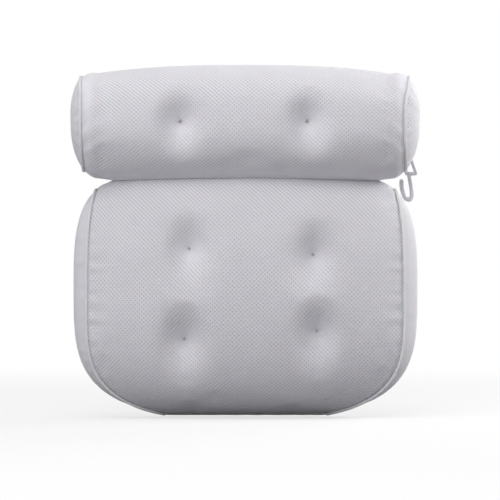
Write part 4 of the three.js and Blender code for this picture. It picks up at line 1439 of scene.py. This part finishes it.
class PILLOW_OT_ties(bpy.types.Operator):
    """Ties each tuft down with a crossed stitch of waxed thread"""

    bl_idname = "pillow.ties"
    bl_label = "Tuft Ties"

    def execute(self, context):
        for k, (name, place) in enumerate(ALL_TUFTS.items()):
            self.tie(k, name, place)
        return {"FINISHED"}

    def tie(self, k, name, place):
        """Two crossed strands in the hollow, and the thread from them to the cup."""
        node, body = f"tuft_tie_{name}", body_of(name)
        low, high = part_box(node)
        front = low.y / MM + TIE_INSET - (belly(*place) if body == "pad" else 0)
        radius = sizes().thread / MM / 2
        t = np.linspace(-1, 1, 13)
        strands = []
        for j, first_turn in enumerate(TIE_TURNS):
            turn = first_turn + TIE_TURN_STEP * k
            arch = TIE_ARCH * (1 - j / 2) * np.cos(t * math.pi / 2)
            x, z = place[0] + TIE_REACH * t * math.cos(turn), place[1] + TIE_REACH * t * math.sin(turn)
            line = np.stack([x, front - arch + TIE_DIVE * t**4, z], -1)
            strands.append(tube_object(f"strand_{k}_{j}", line, radius, 8))
        depth = np.linspace(front + 1, high.y / MM, 8)
        shaft = np.stack([np.full_like(depth, place[0]), depth, np.full_like(depth, place[1])], -1)
        strands.append(tube_object(f"strand_{k}_2", shaft, radius, 8))
        dress(join(f"tie_{name}", strands), tie_thread(), body, "tie_thread", node)


class PILLOW_OT_hook(bpy.types.Operator):
    """Moulds the hook, with its triangular eye and open J, and threads the cord loop through the eye"""

    bl_idname = "pillow.hook"
    bl_label = "Hook and Loop"

    def execute(self, context):
        self.hook()
        self.loop()
        return {"FINISHED"}

    def at(self, x, z):
        """A place on the hook, from the middle of its eye's base."""
        return HOOK_X + x, HOOK_Y, EYE_BASE_HEIGHT + z

    def hook(self):
        """Eye and curl, fused with a soft fillet between them."""
        at, tall, drop, gape = self.at, EYE_HEIGHT, HOOK_DROP, HOOK_GAPE
        eye = [
            at(-2.2, tall - 1), at(0, tall), at(2.2, tall - 1), at(3.6, tall - 4.2),
            at(0.8 * EYE_RIGHT, 0.38 * tall), at(EYE_RIGHT, 1.5), at(EYE_RIGHT - 1, 0), at(0, 0),
            at(1 - EYE_LEFT, 0), at(-EYE_LEFT, 1.5), at(-1.15 * EYE_LEFT, 0.38 * tall),
            at(-3.6, tall - 4.2),
        ]
        shank = [
            at(0, 0), at(0.17 * gape, -0.37 * drop), at(0.28 * gape, -0.72 * drop),
            at(0.24 * gape, -0.9 * drop), at(0.03 * gape, -drop), at(-0.34 * gape, -0.94 * drop),
            at(-0.54 * gape, -0.78 * drop), at(-0.7 * gape, -0.53 * drop), at(-0.72 * gape, -HOOK_TIP),
        ]
        eye_radius, rod_radius = (rod / MM / 2 + FILLET_LOSS for rod in (sizes().eye_rod, sizes().rod))
        ring = tube_object("eye", smooth_line(eye, True, 120), eye_radius, 16, True)
        curl = tube_object("curl", smooth_line(shank, False, 120), rod_radius, 16)
        obj = join("hook_moulding", [ring, curl])
        remesh = obj.modifiers.new("Fuse", "REMESH")
        remesh.mode, remesh.voxel_size = "VOXEL", HOOK_VOXEL * MM
        soften = obj.modifiers.new("Fillet", "SMOOTH")
        soften.factor, soften.iterations = 0.5, 6
        apply_modifiers(obj)
        obj.data.polygons.foreach_set("use_smooth", [True] * len(obj.data.polygons))
        dress(obj, hook_plastic(), "hook", "hook_plastic", "hook")

    def loop(self):
        """Limp cord from the end seam down through the eye and back."""
        thick = sizes().cord / MM
        apex = EYE_BASE_HEIGHT + EYE_HEIGHT
        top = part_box("hanging_loop")[1].z / MM - thick / 2
        seam = BASE - 0.5
        bend = (sizes().eye_rod / MM + thick) / 2 + 3 * FIT
        turns = np.linspace(0, math.pi, 7)
        under = [(HOOK_X, HOOK_Y - bend * math.cos(a), apex - bend * math.sin(a)) for a in turns]
        route = [
            (LOOP_X - 1, seam, top + 0.8), (LOOP_X, seam + 2.6, top - 0.6),
            (LOOP_X + 0.9, seam + 4.2, top - 4),
            *under,
            (LOOP_X + 0.9, seam + 7.4, top - 3), (LOOP_X, seam + 4.6, top + 1.2),
            (LOOP_X - 1, seam, top + 2.6),
        ]
        even = smooth_line(route, False, 90)
        obj = tube_object("loop_cord", even, thick / 2, 10)
        dress(obj, cord_braid(), "loop", "loop_cord", "hanging_loop")


class PILLOW_OT_stage(bpy.types.Operator):
    """Sets the floor, the soft lamps and the camera"""

    bl_idname = "pillow.stage"
    bl_label = "Stage"

    def execute(self, context):
        self.floor()
        self.world(context)
        for name, lamp in LAMPS.items():
            self.lamp(name, **lamp)
        self.camera(context)
        context.scene.view_settings.view_transform = "Standard"
        return {"FINISHED"}

    def floor(self):
        """Paper floor that the camera sees as white, with the pillow's shadow on it."""
        bpy.ops.mesh.primitive_plane_add(size=FLOOR_SIZE, location=(0, 0, CAD_BOX[0][2] - FLOOR_GAP))
        plane = bpy.context.object
        plane.name = "floor"
        material, n, shader = new_material("floor_paper")
        set_values(shader, {"Base Color": (0.28, 0.28, 0.29, 1), "Roughness": 0.9})
        pale = n.add("ShaderNodeBsdfDiffuse")
        pale.inputs["Color"].default_value = (0.95, 0.95, 0.95, 1)
        glow = n.add("ShaderNodeEmission")
        glow.inputs["Color"].default_value = (1, 1, 1, 1)
        away = n.add("ShaderNodeVectorMath", operation="LENGTH")
        n.wire(n.coordinate("Object"), away.inputs[0])
        fade = n.ramp(away.outputs["Value"], 0.25, 1.3, 0.66, 1.0)
        paper = n.either(fade, pale.outputs[0], glow.outputs[0])
        lit = material.node_tree.nodes["Principled BSDF"].outputs[0]
        whole = n.either(n.seen_directly(), lit, paper)
        n.wire(whole, material.node_tree.nodes["Material Output"].inputs["Surface"])
        plane.data.materials.append(material)

    def world(self, context):
        """Dim room that the camera sees as white."""
        world = bpy.data.worlds.new("studio")
        context.scene.world = world
        world.use_nodes = True
        n = Nodes(world.node_tree)
        room = world.node_tree.nodes["Background"]
        set_values(room.inputs, {"Color": (0.97, 0.97, 1.0, 1), "Strength": 0.3})
        white = n.add("ShaderNodeBackground")
        white.inputs["Color"].default_value = (1, 1, 1, 1)
        whole = n.either(n.seen_directly(), room.outputs[0], white.outputs[0])
        n.wire(whole, world.node_tree.nodes["World Output"].inputs["Surface"])

    def lamp(self, name, place, aim, width, watts, colour):
        """Round softbox that looks at a point of the pillow."""
        data = bpy.data.lights.new(name, "AREA")
        data.shape, data.size, data.energy, data.color = "DISK", width, watts, colour
        obj = link(bpy.data.objects.new(name, data))
        obj.location = place
        obj.rotation_euler = (Vector(aim) - Vector(place)).to_track_quat("-Z", "Y").to_euler()

    def camera(self, context):
        """Level camera straight in front."""
        data = bpy.data.cameras.new("camera")
        data.lens, data.sensor_width = CAMERA_LENS, CAMERA_SENSOR
        obj = link(bpy.data.objects.new("camera", data))
        obj.location = CAMERA_PLACE
        obj.rotation_euler = (math.pi / 2, 0, 0)
        context.scene.camera = obj


class PILLOW_PT_sidebar(bpy.types.Panel):
    """Sizes, colours and steps of the bath pillow"""

    bl_idname = "PILLOW_PT_sidebar"
    bl_label = "Bath Pillow"
    bl_space_type = "VIEW_3D"
    bl_region_type = "UI"
    bl_category = "Bath Pillow"

    def draw(self, context):
        for group in (context.scene.pillow_sizes, context.scene.pillow_colours):
            box = self.layout.box()
            for key in group.__annotations__:
                box.prop(group, key)
        for operator in STEPS:
            self.layout.operator(operator.bl_idname)


STEPS = (
    PILLOW_OT_stage, PILLOW_OT_pad, PILLOW_OT_roll, PILLOW_OT_welts, PILLOW_OT_fold_strip,
    PILLOW_OT_cups, PILLOW_OT_ties, PILLOW_OT_hook,
)
CLASSES = (PillowSizes, PillowColours, *STEPS, PILLOW_PT_sidebar)


def register():
    for cls in CLASSES:
        bpy.utils.register_class(cls)
    bpy.types.Scene.pillow_sizes = PointerProperty(type=PillowSizes)
    bpy.types.Scene.pillow_colours = PointerProperty(type=PillowColours)


def unregister():
    del bpy.types.Scene.pillow_sizes
    del bpy.types.Scene.pillow_colours
    for cls in reversed(CLASSES):
        bpy.utils.unregister_class(cls)


def main():
    register()
    bpy.ops.pillow.stage()
    bpy.ops.pillow.pad()
    bpy.ops.pillow.roll()
    bpy.ops.pillow.welts()
    bpy.ops.pillow.fold_strip()
    bpy.ops.pillow.cups()
    bpy.ops.pillow.ties()
    bpy.ops.pillow.hook()


if __name__ == "__main__":
    main()
